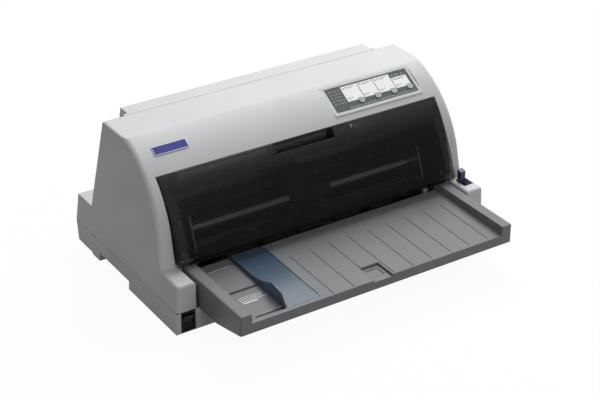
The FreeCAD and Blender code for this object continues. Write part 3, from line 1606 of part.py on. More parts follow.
def gear_body(name, teeth, bore):
    """A spur gear about its own X axis: a blank, one tooth and a polar pattern."""
    body = new_body(name)
    pitch = dim.gear_module * teeth / 2
    tip = pitch + dim.addendum_share * dim.gear_module
    root = pitch - dim.dedendum_share * dim.gear_module
    half = dim.tooth_share * dim.gear_module * math.pi / 2
    slope = sine(dim.flank_angle) / cosine(dim.flank_angle)
    tip_half = half - (tip - pitch) * slope
    root_half = half + (pitch - root) * slope
    foot = root - dim.gear_module / 2
    add(body, "YZ", [ring(0, 0, root)], 0, dim.gear_width, "blank")
    tooth = [(foot, -root_half), (root, -root_half), (tip, -tip_half), (tip, tip_half), (root, root_half),
             (foot, root_half)]
    tooth = add(body, "YZ", [tooth], 0, dim.gear_width, "tooth")
    around(body, tooth, "X_Axis", teeth)
    remove(body, "YZ", [ring(0, 0, bore)], -OVER, dim.gear_width + OVER, "bore")
    return body


def meshing(angle, teeth, direction, other_teeth):
    """The angle of a tooth of the next gear, so that the pair meshes along direction."""
    ratio = teeth.value / other_teeth.value
    return direction + 180 - (angle - direction) * ratio + 180 / other_teeth.value


def place_gear(body, y, z, angle):
    move_to(body, GEAR_LOW, y, z, (1, 0, 0), angle)


def make_gears():
    """The feed train: motor pinion, train gear, two roller gears, relay gear and tractor gear."""
    train_angle = 0
    down = -dim.pinion_angle.value
    rise = dim.relay_angle.value
    pinion_angle = meshing(train_angle, dim.train_teeth, down, dim.pinion_teeth)
    front_angle = meshing(train_angle, dim.train_teeth, 180, dim.roller_teeth)
    rear_angle = meshing(train_angle, dim.train_teeth, 0, dim.roller_teeth)
    relay_angle = meshing(rear_angle, dim.roller_teeth, rise, dim.relay_teeth)
    tractor_angle = meshing(relay_angle, dim.relay_teeth, rise, dim.roller_teeth)
    loose = dim.axle_radius + dim.fit
    tight = dim.feed_shaft_radius
    for name, teeth, bore, y, z, angle in (
        ("train_gear", dim.train_teeth, loose, PRINT_Y, FEED_Z, train_angle),
        ("motor_pinion", dim.pinion_teeth, dim.axle_radius, PINION_Y, PINION_Z, pinion_angle),
        ("front_roller_gear", dim.roller_teeth, tight, FRONT_ROLLER_Y, FEED_Z, front_angle),
        ("rear_roller_gear", dim.roller_teeth, tight, REAR_ROLLER_Y, FEED_Z, rear_angle),
        ("relay_gear", dim.relay_teeth, loose, RELAY_Y, RELAY_Z, relay_angle),
        ("tractor_gear", dim.roller_teeth, tight, TRACTOR_Y, TRACTOR_Z, tractor_angle),
    ):
        body = gear_body(name, teeth, bore)
        if name == "train_gear":
            window = ring((TRAIN_RADIUS + dim.axle_radius) / 2, 0, TRAIN_RADIUS / 4)
            hole = remove(body, "YZ", [window], -OVER, dim.gear_width + OVER, "web_hole")
            around(body, hole, "X_Axis", dim.web_holes)
        place_gear(body, y, z, angle)
        keep(body, name)


def coil_band():
    """The shallow band round a motor's can."""
    return [ring(0, 0, dim.motor_radius), ring(0, 0, dim.motor_radius - dim.coil_band_depth)]


def make_feed_motor():
    """The paper feed motor inside the right side frame; its shaft carries the pinion."""
    body = new_body("feed_motor")
    length = dim.motor_length
    add(body, "YZ", [ring(0, 0, dim.motor_radius)], -length, 0, "can")
    boss = dim.axle_radius * 2 - dim.fit * 2
    add(body, "YZ", [ring(0, 0, boss)], 0, dim.frame_sheet, "boss")
    bore = ring(0, 0, dim.axle_radius + dim.fit)
    remove(body, "YZ", [bore], -length / 2, dim.frame_sheet + OVER, "bearing")
    remove(body, "YZ", coil_band(), -length * dim.coil_band_high_share,
           -length * dim.coil_band_low_share, "coil_band")
    move_to(body, dim.frame_half, PINION_Y, PINION_Z)
    keep(body, "feed_motor")
    shaft = new_body("feed_motor_shaft")
    add(shaft, "YZ", [ring(0, 0, dim.axle_radius)], dim.fit * 2 - length / 2,
        GEAR_LOW + dim.gear_width - dim.frame_half, "shaft")
    move_to(shaft, dim.frame_half, PINION_Y, PINION_Z)
    keep(shaft, "feed_motor_shaft")


def make_carriage():
    """The carriage: bearing on the round shaft, plate, hook over the rear rail and belt arm."""
    body = new_body("carriage")
    half = dim.carriage_half
    plate_low = SHAFT_Z + dim.axle_radius
    plate_high = plate_low + dim.carriage_plate
    wall = dim.bearing_wall
    reach = dim.guide_shaft_radius + wall
    plate = rectangle(-half, half, SHAFT_Y, RAIL_Y - wall / 2)
    add(body, "XY", [plate], plate_low, plate_high, "plate")
    hub = ring(SHAFT_Y, SHAFT_Z, reach)
    add(body, "YZ", [hub], -half, half, "bearing")
    hook = [
        (RAIL_Y - wall * 2, plate_low),
        (RAIL_Y - wall / 2, plate_low),
        (RAIL_Y - wall / 2, dim.rail_low + dim.rail_web / 2),
        (RAIL_Y - dim.running_gap, dim.rail_low + dim.rail_web / 2),
        (RAIL_Y - dim.running_gap, dim.rail_low + dim.rail_web + dim.running_gap),
        (RAIL_Y + dim.rail_sheet + dim.running_gap, dim.rail_low + dim.rail_web + dim.running_gap),
        (RAIL_Y + dim.rail_sheet + dim.running_gap, dim.rail_low + dim.rail_web / 2),
        (RAIL_Y + dim.rail_sheet + wall, dim.rail_low + dim.rail_web / 2),
        (RAIL_Y + dim.rail_sheet + wall, dim.rail_low + dim.rail_web + wall),
        (RAIL_Y - wall * 2, dim.rail_low + dim.rail_web + wall),
    ]
    add(body, "YZ", [hook], -half / 2, half / 2, "hook")
    # The arm goes under the rail and grips the near run of the belt
    run_y = BELT_Y - dim.pulley_radius - dim.belt_thick / 2
    arm_high = dim.rail_low - dim.running_gap
    arm = [
        (RAIL_Y - wall * 2, plate_high),
        (RAIL_Y - wall * 2, dim.belt_low - wall / 2),
        (run_y + wall, dim.belt_low - wall / 2),
        (run_y + wall, arm_high),
        (RAIL_Y - wall / 2, arm_high),
        (RAIL_Y - wall / 2, plate_high),
    ]
    add(body, "YZ", [arm], -wall * 2, wall * 2, "belt_arm")
    bore = ring(SHAFT_Y, SHAFT_Z, dim.guide_shaft_radius + dim.fit)
    remove(body, "YZ", [bore], -half - OVER, half + OVER, "shaft_bore")
    gap = dim.running_gap
    belt_room = rectangle(run_y - dim.belt_thick / 2 - gap, run_y + dim.belt_thick / 2 + gap,
                          dim.belt_low - gap, dim.belt_low + dim.belt_height + gap)
    remove(body, "YZ", [belt_room], -half, half, "belt_room")
    throat = rectangle(-dim.head_width / 2, dim.head_width / 2, PRINT_Y - dim.head_depth / 2,
                       PRINT_Y + dim.head_depth / 2)
    remove(body, "XY", [throat], plate_low - OVER, plate_high + OVER, "head_throat")
    move_to(body, dim.carriage_place)
    return keep(body, "carriage")


def make_print_head():
    """The finned print head with its nose above the platen."""
    body = new_body("print_head")
    half = dim.head_width / 2
    deep = dim.head_depth / 2
    block_outline = rectangle(-half, half, -deep, deep)
    add(body, "XY", [block_outline], dim.head_low, dim.head_top, "block")
    nose = rectangle(-dim.nose_width / 2, dim.nose_width / 2, -dim.nose_depth / 2, dim.nose_depth / 2)
    add(body, "XY", [nose], dim.nose_low, dim.head_low + dim.head_slot, "nose")
    low = dim.head_slot - half
    slot = rectangle(low, low + dim.head_slot, SHAFT_Z + dim.bearing_wall * 2 + dim.head_slot,
                     dim.head_top + OVER)
    slot = remove(body, "XZ", [slot], -deep - OVER, deep + OVER, "head_slot")
    along(body, slot, "X_Axis", dim.head_slot_pitch, dim.head_slot_count)
    move_to(body, dim.carriage_place, PRINT_Y)
    return keep(body, "print_head")


def make_ribbon_cartridge():
    """The ribbon cartridge clipped under the carriage in front of and around the nose."""
    body = new_body("ribbon_cartridge")
    half = dim.ribbon_width / 2
    deep = dim.head_depth / 2
    front = -dim.head_depth
    top = SHAFT_Z - dim.guide_shaft_radius - dim.bearing_wall - dim.running_gap
    shell = rectangle(-half, half, front, deep)
    add(body, "XY", [shell], dim.ribbon_low, top, "shell")
    round_edges(body, dim.case_wall, on_upright_edge)
    room = rectangle(-dim.head_width / 2 - dim.running_gap, dim.head_width / 2 + dim.running_gap,
                     -deep - dim.running_gap, deep + OVER)
    remove(body, "XY", [room], dim.head_low - dim.running_gap, top + OVER, "head_room")
    nose = rectangle(-dim.nose_width / 2 - dim.running_gap, dim.nose_width / 2 + dim.running_gap,
                     -dim.nose_depth / 2 - dim.running_gap, dim.nose_depth / 2 + dim.running_gap)
    remove(body, "XY", [nose], dim.ribbon_low - OVER, dim.head_low + OVER, "nose_room")
    move_to(body, dim.carriage_place, PRINT_Y)
    return keep(body, "ribbon_cartridge")


def make_pulleys():
    """The motor pulley and the idler pulley of the carriage belt, on upright axes."""
    for side, name in ((LEFT, "motor_pulley"), (RIGHT, "idler_pulley")):
        body = new_body(name)
        low = -dim.pulley_flange_thick - dim.fit * 2
        high = dim.belt_height + dim.fit * 2 + dim.pulley_flange_thick
        wide = dim.pulley_radius + dim.pulley_flange
        add(body, "XY", [ring(0, 0, dim.pulley_radius - dim.fit)], low, high, "barrel")
        add(body, "XY", [ring(0, 0, wide)], low, -dim.fit * 2, "lower_flange")
        add(body, "XY", [ring(0, 0, wide)], dim.belt_height + dim.fit * 2, high, "upper_flange")
        flange_top = dim.rail_low + dim.rail_sheet - dim.belt_low
        if side == LEFT:
            add(body, "XY", [ring(0, 0, dim.axle_radius)], 0, flange_top + dim.motor_length / 2, "shaft")
        else:
            bore = ring(0, 0, dim.axle_radius + dim.fit)
            remove(body, "XY", [bore], low - OVER, high + OVER, "bore")
        move_to(body, side * dim.pulley_place, BELT_Y, dim.belt_low)
        keep(body, name)


def make_belt():
    """The endless carriage belt round both pulleys."""
    body = new_body("timing_belt")
    far = dim.pulley_place
    high = dim.belt_low + dim.belt_height
    outer = dim.pulley_radius + dim.belt_thick
    inner = dim.pulley_radius
    add(body, "XY", [rectangle(-far, far, BELT_Y - outer, BELT_Y + outer)], dim.belt_low, high, "runs")
    ends = [ring(side * far, BELT_Y, outer) for side in SIDES]
    add(body, "XY", ends, dim.belt_low, high, "turns")
    middle = rectangle(-far, far, BELT_Y - inner, BELT_Y + inner)
    remove(body, "XY", [middle], dim.belt_low, high, "between_runs")
    ends = [ring(side * far, BELT_Y, inner) for side in SIDES]
    remove(body, "XY", ends, dim.belt_low, high, "pulley_room")
    return keep(body, "timing_belt")


def make_carriage_motor():
    """The carriage motor on the rail, and the axle of the idler pulley."""
    body = new_body("carriage_motor")
    base = dim.rail_low + dim.rail_sheet
    add(body, "XY", [ring(0, 0, dim.motor_radius)], 0, dim.motor_length, "can")
    boss = dim.axle_radius * 2 - dim.fit * 2
    add(body, "XY", [ring(0, 0, boss)], -dim.rail_sheet, 0, "boss")
    bore = ring(0, 0, dim.axle_radius + dim.fit)
    remove(body, "XY", [bore], -OVER, dim.motor_length / 2 + dim.fit * 2, "bearing")
    remove(body, "XY", coil_band(), dim.motor_length * dim.coil_band_low_share,
           dim.motor_length * dim.coil_band_high_share, "coil_band")
    move_to(body, -dim.pulley_place, BELT_Y, base)
    keep(body, "carriage_motor")
    axle = new_body("idler_axle")
    low = dim.belt_low - dim.rail_low - dim.rail_sheet
    add(axle, "XY", [ring(0, 0, dim.axle_radius)], low, dim.rail_sheet, "pin")
    shoulder = ring(0, 0, dim.axle_radius * 2 - dim.fit)
    add(axle, "XY", [shoulder], -dim.rail_sheet, dim.rail_sheet, "shoulder")
    add(axle, "XY", [ring(0, 0, dim.axle_radius * 3)], 0, dim.rail_sheet, "head")
    move_to(axle, dim.pulley_place, BELT_Y, base)
    keep(axle, "idler_axle")


def make_tractor_shafts():
    """The square drive shaft and the round guide rod of the tractors."""
    shaft = new_body("tractor_shaft")
    half = dim.square_shaft / 2
    square = rectangle(-half, half, -half, half)
    add(shaft, "YZ", [square], -dim.frame_half, dim.frame_half, "square")
    journal = [ring(0, 0, dim.feed_shaft_radius)]
    inside = dim.frame_half - dim.frame_sheet / 2
    add(shaft, "YZ", journal, -FRAME_OUT, -inside, "left_journal")
    add(shaft, "YZ", journal, inside, GEAR_LOW + dim.gear_width, "right_journal")
    move_to(shaft, 0, TRACTOR_Y, TRACTOR_Z)
    keep(shaft, "tractor_shaft")
    guide = new_body("tractor_rod")
    add(guide, "YZ", [ring(0, 0, dim.rod_radius)], -FRAME_OUT, FRAME_OUT, "rod")
    move_to(guide, 0, ROD_Y, ROD_Z)
    keep(guide, "tractor_rod")


def make_tractors():
    """Two tractors with their pin wheels, movable along the shaft and the rod."""
    for side, name in ((LEFT, "left"), (RIGHT, "right")):
        body = new_body("tractor_" + name)
        half = dim.tractor_width / 2
        radius = dim.tractor_radius
        rise = ROD_Z - TRACTOR_Z
        low = -dim.sprocket_radius + dim.sprocket_pin_height / 2
        case = [
            (-radius, low),
            (radius, low),
            (radius, rise / 2),
            (dim.rod_radius * 2, rise + dim.rod_radius * 2),
            (-dim.rod_radius * 2, rise + dim.rod_radius * 2),
            (-radius, rise / 2),
        ]
        add(body, "YZ", [case], -half, half, "cheeks")
        round_edges(body, dim.sprocket_pin_height, on_tractor_corner)
        inner = dim.sprocket_width / 2 + dim.running_gap
        room = ring(0, 0, dim.sprocket_radius + dim.sprocket_pin_height + dim.running_gap * 2)
        remove(body, "YZ", [room], -inner, inner, "wheel_room")
        remove(body, "YZ", [ring(0, 0, dim.square_shaft)], -half - OVER, half + OVER, "shaft_bore")
        remove(body, "YZ", [ring(0, rise, dim.rod_radius + dim.fit)], -half - OVER, half + OVER, "rod_bore")
        move_to(body, side * dim.tractor_place, TRACTOR_Y, TRACTOR_Z)
        keep(body, "tractor_" + name)
        wheel = new_body("sprocket_" + name)
        reach = dim.sprocket_width / 2
        add(wheel, "YZ", [ring(0, 0, dim.sprocket_radius)], -reach, reach, "wheel")
        hub = dim.square_shaft - dim.fit
        add(wheel, "YZ", [ring(0, 0, hub)], -half, half, "hub")
        pin = rectangle(-dim.sprocket_pin_radius, dim.sprocket_pin_radius, -dim.sprocket_pin_radius,
                        dim.sprocket_pin_radius)
        pin_top = dim.sprocket_radius + dim.sprocket_pin_height
        pin = add(wheel, "XY", [pin], dim.sprocket_radius / 2, pin_top, "pin")
        around(wheel, pin, "X_Axis", dim.sprocket_pins)
        square = dim.square_shaft / 2 + dim.fit
        hole = rectangle(-square, square, -square, square)
        remove(wheel, "YZ", [hole], -half - OVER, half + OVER, "square_bore")
        move_to(wheel, side * dim.tractor_place, TRACTOR_Y, TRACTOR_Z)
        keep(wheel, "sprocket_" + name)


def on_tractor_corner(edge):
    return is_line_along(edge, "x") and edge.CenterOfMass.z > 0


def make_paper_guide():
    """The sloping sheet guide from the rear rollers to the rear opening."""
    body = new_body("rear_paper_guide")
    start = REAR_ROLLER_Y + dim.feed_roller_radius + dim.gear_gap
    end = rear_wall(dim.rear_opening_low) - dim.case_wall - dim.gear_gap / 2
    thick = dim.paper_guide_sheet
    low = PAPER - dim.running_gap
    high = dim.rear_opening_low - dim.running_gap * 2
    outline = [(start, low - thick), (end, high - thick), (end, high), (start, low)]
    add(body, "YZ", [outline], -dim.frame_half, dim.frame_half, "guide")
    stop = rectangle(start, start + thick, low - thick * 6, low)
    add(body, "YZ", [stop], -dim.frame_half, dim.frame_half, "turned_edge")
    return keep(body, "rear_paper_guide")


def make_front_paper_guide():
    """The sheet guide between the front rollers and the platen."""
    body = new_body("front_paper_guide")
    front = FRONT_ROLLER_Y + dim.feed_roller_radius + dim.gear_gap / 2
    back = PRINT_Y - dim.platen_width / 2 - dim.gear_gap / 2
    thick = dim.paper_guide_sheet
    top = PAPER - dim.running_gap
    outline = [(front, top - thick), (back, top - thick), (back, top), (front, top)]
    add(body, "YZ", [outline], -dim.frame_half, dim.frame_half, "guide")
    web = [(front + thick, top - thick * 5), (front + thick * 2, top - thick * 5),
           (front + thick * 2, top - thick), (front + thick, top - thick)]
    add(body, "YZ", [web], -dim.frame_half, dim.frame_half, "web")
    return keep(body, "front_paper_guide")


def make_boards():
    """The main board with its data port, the power supply board and the power inlet."""
    back = REAR - dim.foot_lean
    front = back - dim.board_depth
    top = dim.board_z + dim.board_thick
    board = new_body("main_board")
    left = -dim.board_left
    outline = rectangle(left, left + dim.board_width, front, back - dim.case_wall * 2)
    add(board, "XY", [outline], dim.board_z, top, "board")
    chips = [rectangle(left + dim.port_height * (2 * place + 1), left + dim.port_height * (2 * place + 2),
                       front + dim.port_height, front + dim.port_height * 2) for place in range(4)]
    add(board, "XY", chips, dim.board_z + dim.board_thick / 2, top + dim.board_thick, "chips")
    keep(board, "main_board")
    supply = new_body("power_supply")
    left = dim.supply_left
    right = left + dim.supply_width
    outline = rectangle(left, right, front, back - dim.case_wall * 2)
    add(supply, "XY", [outline], dim.board_z, top, "board")
    third = dim.board_depth / 3
    core = rectangle(left + third, left + third * 2, front + third / 2, front + third * 3 / 2)
    add(supply, "XY", [core], dim.board_z + dim.board_thick / 2, top + third, "transformer")
    cans = [ring(left + third / 2, front + third * (place + 1), third / 4) for place in range(2)]
    add(supply, "XY", cans, dim.board_z + dim.board_thick / 2, top + third * 3 / 2, "capacitors")
    sink_left = left + third * 7 / 3
    sink = rectangle(sink_left, sink_left + dim.case_wall, front + third / 2, back - third)
    add(supply, "XY", [sink], dim.board_z + dim.board_thick / 2, top + third, "heat_sink")
    keep(supply, "power_supply")
    port = new_body("interface_port")
    half = dim.port_width / 2
    shell = rectangle(-half, half, 0, dim.port_height)
    outside = REAR - dim.inlet_depth + dim.case_wall
    face = REAR - dim.foot_lean / 2
    add(port, "XZ", [shell], outside, face, "shell")
    mouth = [
        (dim.case_wall - half, dim.port_height - dim.case_wall),
        (dim.case_wall * 2 - half, dim.case_wall),
        (half - dim.case_wall * 2, dim.case_wall),
        (half - dim.case_wall, dim.port_height - dim.case_wall),
    ]
    remove(port, "XZ", [mouth], face - dim.port_height / 2, face + OVER, "mouth")
    tongue = rectangle(dim.case_wall * 3 - half, half - dim.case_wall * 3,
                       dim.port_height / 2 - dim.case_wall / 3, dim.port_height / 2 + dim.case_wall / 3)
    root = face - dim.port_height / 2 - dim.case_wall
    add(port, "XZ", [tongue], root, face - dim.case_wall / 2, "tongue")
    move_to(port, PORT_X, 0, top)
    keep(port, "interface_port")
    inlet = new_body("power_inlet")
    half = dim.inlet_width / 2
    tall = dim.inlet_height
    shell = rectangle(-half, half, 0, tall)
    add(inlet, "XZ", [shell], outside, face, "shell")
    wall = dim.case_wall * 2 / 3
    mouth = [
        (wall - half, wall),
        (half - wall, wall),
        (half - wall, tall - wall * 3),
        (half - wall * 3, tall - wall),
        (wall * 3 - half, tall - wall),
        (wall - half, tall - wall * 3),
    ]
    remove(inlet, "XZ", [mouth], face - dim.inlet_depth / 2, face + OVER, "mouth")
    blades = [rectangle(place * half / 2 - wall / 2, place * half / 2 + wall / 2,
                        tall / 2 - wall, tall / 2 + wall) for place in (LEFT, 0, RIGHT)]
    add(inlet, "XZ", blades, face - dim.inlet_depth / 2 - wall, face - wall, "blades")
    move_to(inlet, dim.inlet_place, 0, top)
    keep(inlet, "power_inlet")


def make_all():
    make_lower_case()
    make_upper_case()
    make_feet()
    make_screws()
    make_front_cover()
    make_rear_cover()
    make_hinge_pins()
    make_front_tray()
    make_edge_guide()
    make_paper_support()
    make_control_panel()
    make_buttons()
    make_button_board()
    make_badge()
    make_switch()
    make_release_lever()
    make_base_frame()
    make_side_frames()
    make_rollers()
    make_platen()
    make_front_paper_guide()
    make_paper_guide()
    make_guide_rails()
    make_gears()
    make_feed_motor()
    make_carriage()
    make_print_head()
    make_ribbon_cartridge()
    make_pulleys()
    make_belt()
    make_carriage_motor()
    make_tractor_shafts()
    make_tractors()
    make_boards()


make_all()


def write_parts():
    doc.recompute()
    for thing in doc.Objects:
        if "Invalid" in thing.State or "Error" in thing.State:
            raise ValueError("%s is not built: %s" % (thing.Name, thing.State))
    for thing in NODES:
        if thing.Shape.isNull() or not thing.Shape.isValid():
            raise ValueError("%s has no sound shape" % thing.Label)
    os.makedirs("parts", exist_ok=True)
    for thing in NODES:
        thing.Shape.exportStep("parts/%s.step" % thing.Label)


write_parts()
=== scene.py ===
import json
import math

import bmesh
import bpy
from mathutils import Matrix, Vector


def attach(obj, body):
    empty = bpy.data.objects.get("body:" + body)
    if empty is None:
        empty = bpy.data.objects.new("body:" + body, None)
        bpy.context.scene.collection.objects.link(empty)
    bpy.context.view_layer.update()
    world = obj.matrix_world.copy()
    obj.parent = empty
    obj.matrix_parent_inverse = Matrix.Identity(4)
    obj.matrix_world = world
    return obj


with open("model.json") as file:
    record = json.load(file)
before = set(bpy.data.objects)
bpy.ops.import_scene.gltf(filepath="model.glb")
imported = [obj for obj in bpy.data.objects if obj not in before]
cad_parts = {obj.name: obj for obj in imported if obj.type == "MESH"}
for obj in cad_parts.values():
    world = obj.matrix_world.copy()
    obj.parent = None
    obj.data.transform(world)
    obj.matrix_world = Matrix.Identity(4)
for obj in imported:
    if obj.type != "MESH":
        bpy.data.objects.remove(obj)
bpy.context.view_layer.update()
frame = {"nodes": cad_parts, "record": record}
NODES = frame["nodes"]
MM = 0.001


# Camera
CAMERA_AT = Vector((-0.9843, -1.5271, 1.0903))
CAMERA_AZIMUTH = math.radians(-32.805)
CAMERA_ELEVATION = math.radians(29.111)
CAMERA_LENS = 94.168
CAMERA_SENSOR = 36


def make_camera():
    """A camera at the photograph's viewing angle."""
    data = bpy.data.cameras.new("camera")
    data.lens = CAMERA_LENS
    data.sensor_width = CAMERA_SENSOR
    camera = bpy.data.objects.new("camera", data)
    level = math.cos(CAMERA_ELEVATION)
    back = Vector((math.sin(CAMERA_AZIMUTH) * level,
                   -math.cos(CAMERA_AZIMUTH) * level,
                   math.sin(CAMERA_ELEVATION)))
    camera.location = CAMERA_AT
    camera.rotation_euler = (-back).to_track_quat("-Z", "Y").to_euler()
    bpy.context.scene.collection.objects.link(camera)
    bpy.context.scene.camera = camera


# Shader helpers
MIX_FACTOR, MIX_FIRST, MIX_SECOND, MIX_RESULT = 0, 6, 7, 2
BEVEL_SAMPLES = 6
NOISE_CUT = (0.3, 0.7)


def srgb(*levels):
    """A linear colour from levels of 0 to 255."""
    shares = [level / 255 for level in levels]
    linear = [share / 12.92 if share <= 0.04045 else ((share + 0.055) / 1.055) ** 2.4
              for share in shares]
    return (*linear, 1.0)


def scaled(color, factor):
    """The colour, darker or lighter by that factor."""
    return (*[min(1.0, part * factor) for part in color[:3]], 1.0)


class Shader:
    """A node material with its principled shader and the object's own coordinates."""

    def __init__(self, name):
        self.material = bpy.data.materials.new(name)
        self.material.use_nodes = True
        self.tree = self.material.node_tree
        self.shader = self.tree.nodes["Principled BSDF"]
        self.place = self.tree.nodes.new("ShaderNodeTexCoord").outputs["Object"]

    def add(self, kind, settings=None, **inputs):
        """A new node with its settings and its inputs, an underscore standing for a space."""
        node = self.tree.nodes.new(kind)
        for key, value in (settings or {}).items():
            setattr(node, key, value)
        for key, value in inputs.items():
            self.put(value, node.inputs[key.replace("_", " ")])
        return node

    def put(self, value, socket):
        """Link an output to the socket, or set the socket to a constant."""
        if isinstance(value, bpy.types.NodeSocket):
            self.tree.links.new(value, socket)
        else:
            socket.default_value = value

    def set(self, **inputs):
        """Fill inputs of the principled shader."""
        for key, value in inputs.items():
            self.put(value, self.shader.inputs[key.replace("_", " ")])

    def noise(self, size, detail=2.0, stretch=(1, 1, 1)):
        """Noise with features of that size in metres, squeezed along the axes by stretch."""
        place = self.add("ShaderNodeMapping", Vector=self.place, Scale=stretch).outputs[0]
        return self.add("ShaderNodeTexNoise", Vector=place, Scale=1 / size,
                        Detail=detail, Roughness=0.5).outputs["Fac"]

    def level(self, value, low, high, to_low=0.0, to_high=1.0):
        """The value spread from low..high over to_low..to_high, and clamped."""
        node = self.add("ShaderNodeMapRange", {"clamp": True})
        for socket, number in zip(node.inputs, (value, low, high, to_low, to_high)):
            self.put(number, socket)
        return node.outputs[0]

    def patches(self, size, detail, to_low=0.0, to_high=1.0, cut=NOISE_CUT):
        """Soft patches of that size in metres, with values from to_low to to_high."""
        return self.level(self.noise(size, detail), *cut, to_low, to_high)

    def math(self, operation, *values):
        """The result of one sum."""
        node = self.add("ShaderNodeMath", {"operation": operation})
        for socket, value in zip(node.inputs, values):
            self.put(value, socket)
        return node.outputs[0]

    def mix(self, factor, first, second):
        """A colour between two."""
        node = self.add("ShaderNodeMix", {"data_type": "RGBA"})
        self.put(factor, node.inputs[MIX_FACTOR])
        self.put(first, node.inputs[MIX_FIRST])
        self.put(second, node.inputs[MIX_SECOND])
        return node.outputs[MIX_RESULT]

    def shades(self, factor, color, dark, light):
        """The colour between two shades of itself."""
        return self.mix(factor, scaled(color, dark), scaled(color, light))

    def axis(self, letter):
        """One coordinate of the object's own place."""
        return self.add("ShaderNodeSeparateXYZ", Vector=self.place).outputs[letter]

    def bump(self, height, depth, edge=0.0):
        """Grain of that depth, over edges that are rounded by that radius."""
        node = self.add("ShaderNodeBump", Height=height, Distance=depth)
        if edge:
            soft = self.add("ShaderNodeBevel", {"samples": BEVEL_SAMPLES}, Radius=edge)
            self.put(soft.outputs[0], node.inputs["Normal"])
        self.put(node.outputs[0], self.shader.inputs["Normal"])


# Kinds of material
# Sizes, heights and depths are in metres.
PLASTIC_IOR = 1.5
DUST_TOP = 0.05
DUST_SHADE = 0.72
SEAM_SHADE = 0.3
SEAM_CORE = 0.0003
SEAM_EDGE = 0.0007
MOULDED_GRAIN_DEPTH = 0.00003
MOULDED_EDGE = 0.0009


def moulded(name, color, rough=0.5, grain=0.0006, dust=0.0, gloss=0.35, seam=0.0):
    """Moulded plastic with a fine spark-eroded grain, a trace of unevenness and handling marks.

    dust settles near the ground, and seam is the height of a dark part line.
    """
    s = Shader(name)
    tone = s.shades(s.patches(0.09, 3.0), color, 0.975, 1.025)
    if dust:
        low = s.level(s.axis("Z"), 0.0, DUST_TOP, dust, 0.0)
        spots = s.patches(0.012, 4.0, cut=(0.4, 0.7))
        tone = s.mix(s.math("MULTIPLY", low, spots), tone, scaled(color, DUST_SHADE))
    if seam:
        away = s.math("ABSOLUTE", s.math("SUBTRACT", s.axis("Z"), seam))
        tone = s.mix(s.level(away, SEAM_CORE, SEAM_EDGE), scaled(color, SEAM_SHADE), tone)
    smudge = s.patches(0.035, 4.0, rough - 0.04, rough + 0.06, cut=(0.35, 0.75))
    s.set(Base_Color=tone, Roughness=smudge, IOR=PLASTIC_IOR, Specular_IOR_Level=gloss)
    s.bump(s.noise(grain), MOULDED_GRAIN_DEPTH, MOULDED_EDGE)
    return s.material


def satin(name, color, rough=0.35):
    """Small smooth plastic parts, with faint flow marks."""
    s = Shader(name)
    s.set(Base_Color=s.shades(s.patches(0.02, 3.0), color, 0.96, 1.04),
          Roughness=s.patches(0.006, 3.0, rough - 0.05, rough + 0.07))
    s.bump(s.noise(0.0015, 3.0), 0.000012)
    return s.material


# The cover is lighter towards its left and right ends. Its top band is lighter too: a painted
# sheen where the curved top catches the light.
COVER_BORDER = (0.1985, 0.1995)
COVER_BORDER_LIGHTEN = 0.45
COVER_PAINTED_SHEEN_HEIGHTS = (0.148, 0.18)
COVER_CLEAR = srgb(6, 7, 8)
COVER_BORDER_AND_SHEEN = srgb(76, 77, 79)
COVER_WAVE_DEPTH = 0.00002
COVER_EDGE = 0.0024


def smoked(name):
    """Smoked see-through plastic, polished, with faint wiping marks, lighter towards its left and
    right ends, and a painted sheen along its top band.
    """
    s = Shader(name)
    # Lighter towards the ends, and a painted sheen along the top band.
    border = s.level(s.math("ABSOLUTE", s.axis("X")), *COVER_BORDER, 0.0, COVER_BORDER_LIGHTEN)
    border_and_sheen = s.math("MAXIMUM", border, s.level(s.axis("Z"), *COVER_PAINTED_SHEEN_HEIGHTS))
    wiped = s.level(s.noise(0.06, 2.0, (1, 3, 3)), 0.35, 0.75, 0.08, 0.11)
    s.set(Base_Color=s.mix(border_and_sheen, COVER_CLEAR, COVER_BORDER_AND_SHEEN), Roughness=wiped,
          IOR=PLASTIC_IOR, Specular_IOR_Level=0.08, Alpha=0.54,
          Coat_Weight=0.1, Coat_Roughness=0.4)
    s.bump(s.noise(0.05, 1.0), COVER_WAVE_DEPTH, COVER_EDGE)
    return s.material


def tinted(name, color, alpha):
    """Tinted see-through plastic with a fine satin face."""
    s = Shader(name)
    s.set(Base_Color=s.shades(s.patches(0.04, 2.0), color, 0.97, 1.03),
          Roughness=s.patches(0.01, 3.0, 0.24, 0.28),
          IOR=PLASTIC_IOR, Alpha=alpha, Specular_IOR_Level=0.3)
    s.bump(s.noise(0.0008), 0.00001)
    return s.material


def printed(name, color, rough=0.42):
    """A printed film: even colour with the screen's faint dots."""
    s = Shader(name)
    dots = s.patches(0.0007, 1.0, cut=(0.35, 0.65))
    s.set(Base_Color=s.shades(dots, color, 0.96, 1.03),
          Roughness=s.patches(0.008, 3.0, rough - 0.05, rough + 0.05),
          Specular_IOR_Level=0.2)
    s.bump(s.noise(0.0009), 0.000008)
    return s.material


def zinc_sheet(name):
    """Zinc plated sheet steel with a soft spangle and rolling marks."""
    s = Shader(name)
    cells = s.add("ShaderNodeTexVoronoi", Vector=s.place, Scale=160.0).outputs["Color"]
    spangle = s.add("ShaderNodeSeparateColor", Color=cells).outputs[0]
    rolled = s.noise(0.0012, 3.0, (1, 9, 9))
    s.set(Base_Color=s.mix(spangle, srgb(168, 171, 175), srgb(192, 195, 198)),
          Metallic=1.0, Roughness=s.level(rolled, *NOISE_CUT, 0.3, 0.44))
    s.bump(rolled, 0.00001)
    return s.material


def turned_steel(name):
    """Ground and polished shafts, with fine turning marks round the axis."""
    s = Shader(name)
    marks = s.noise(0.0008, 2.0, (14, 1, 1))
    s.set(Base_Color=s.mix(s.patches(0.01, 2.0), srgb(186, 188, 191), srgb(205, 207, 210)),
          Metallic=1.0, Roughness=s.level(marks, *NOISE_CUT, 0.14, 0.26))
    s.bump(marks, 0.000004)
    return s.material


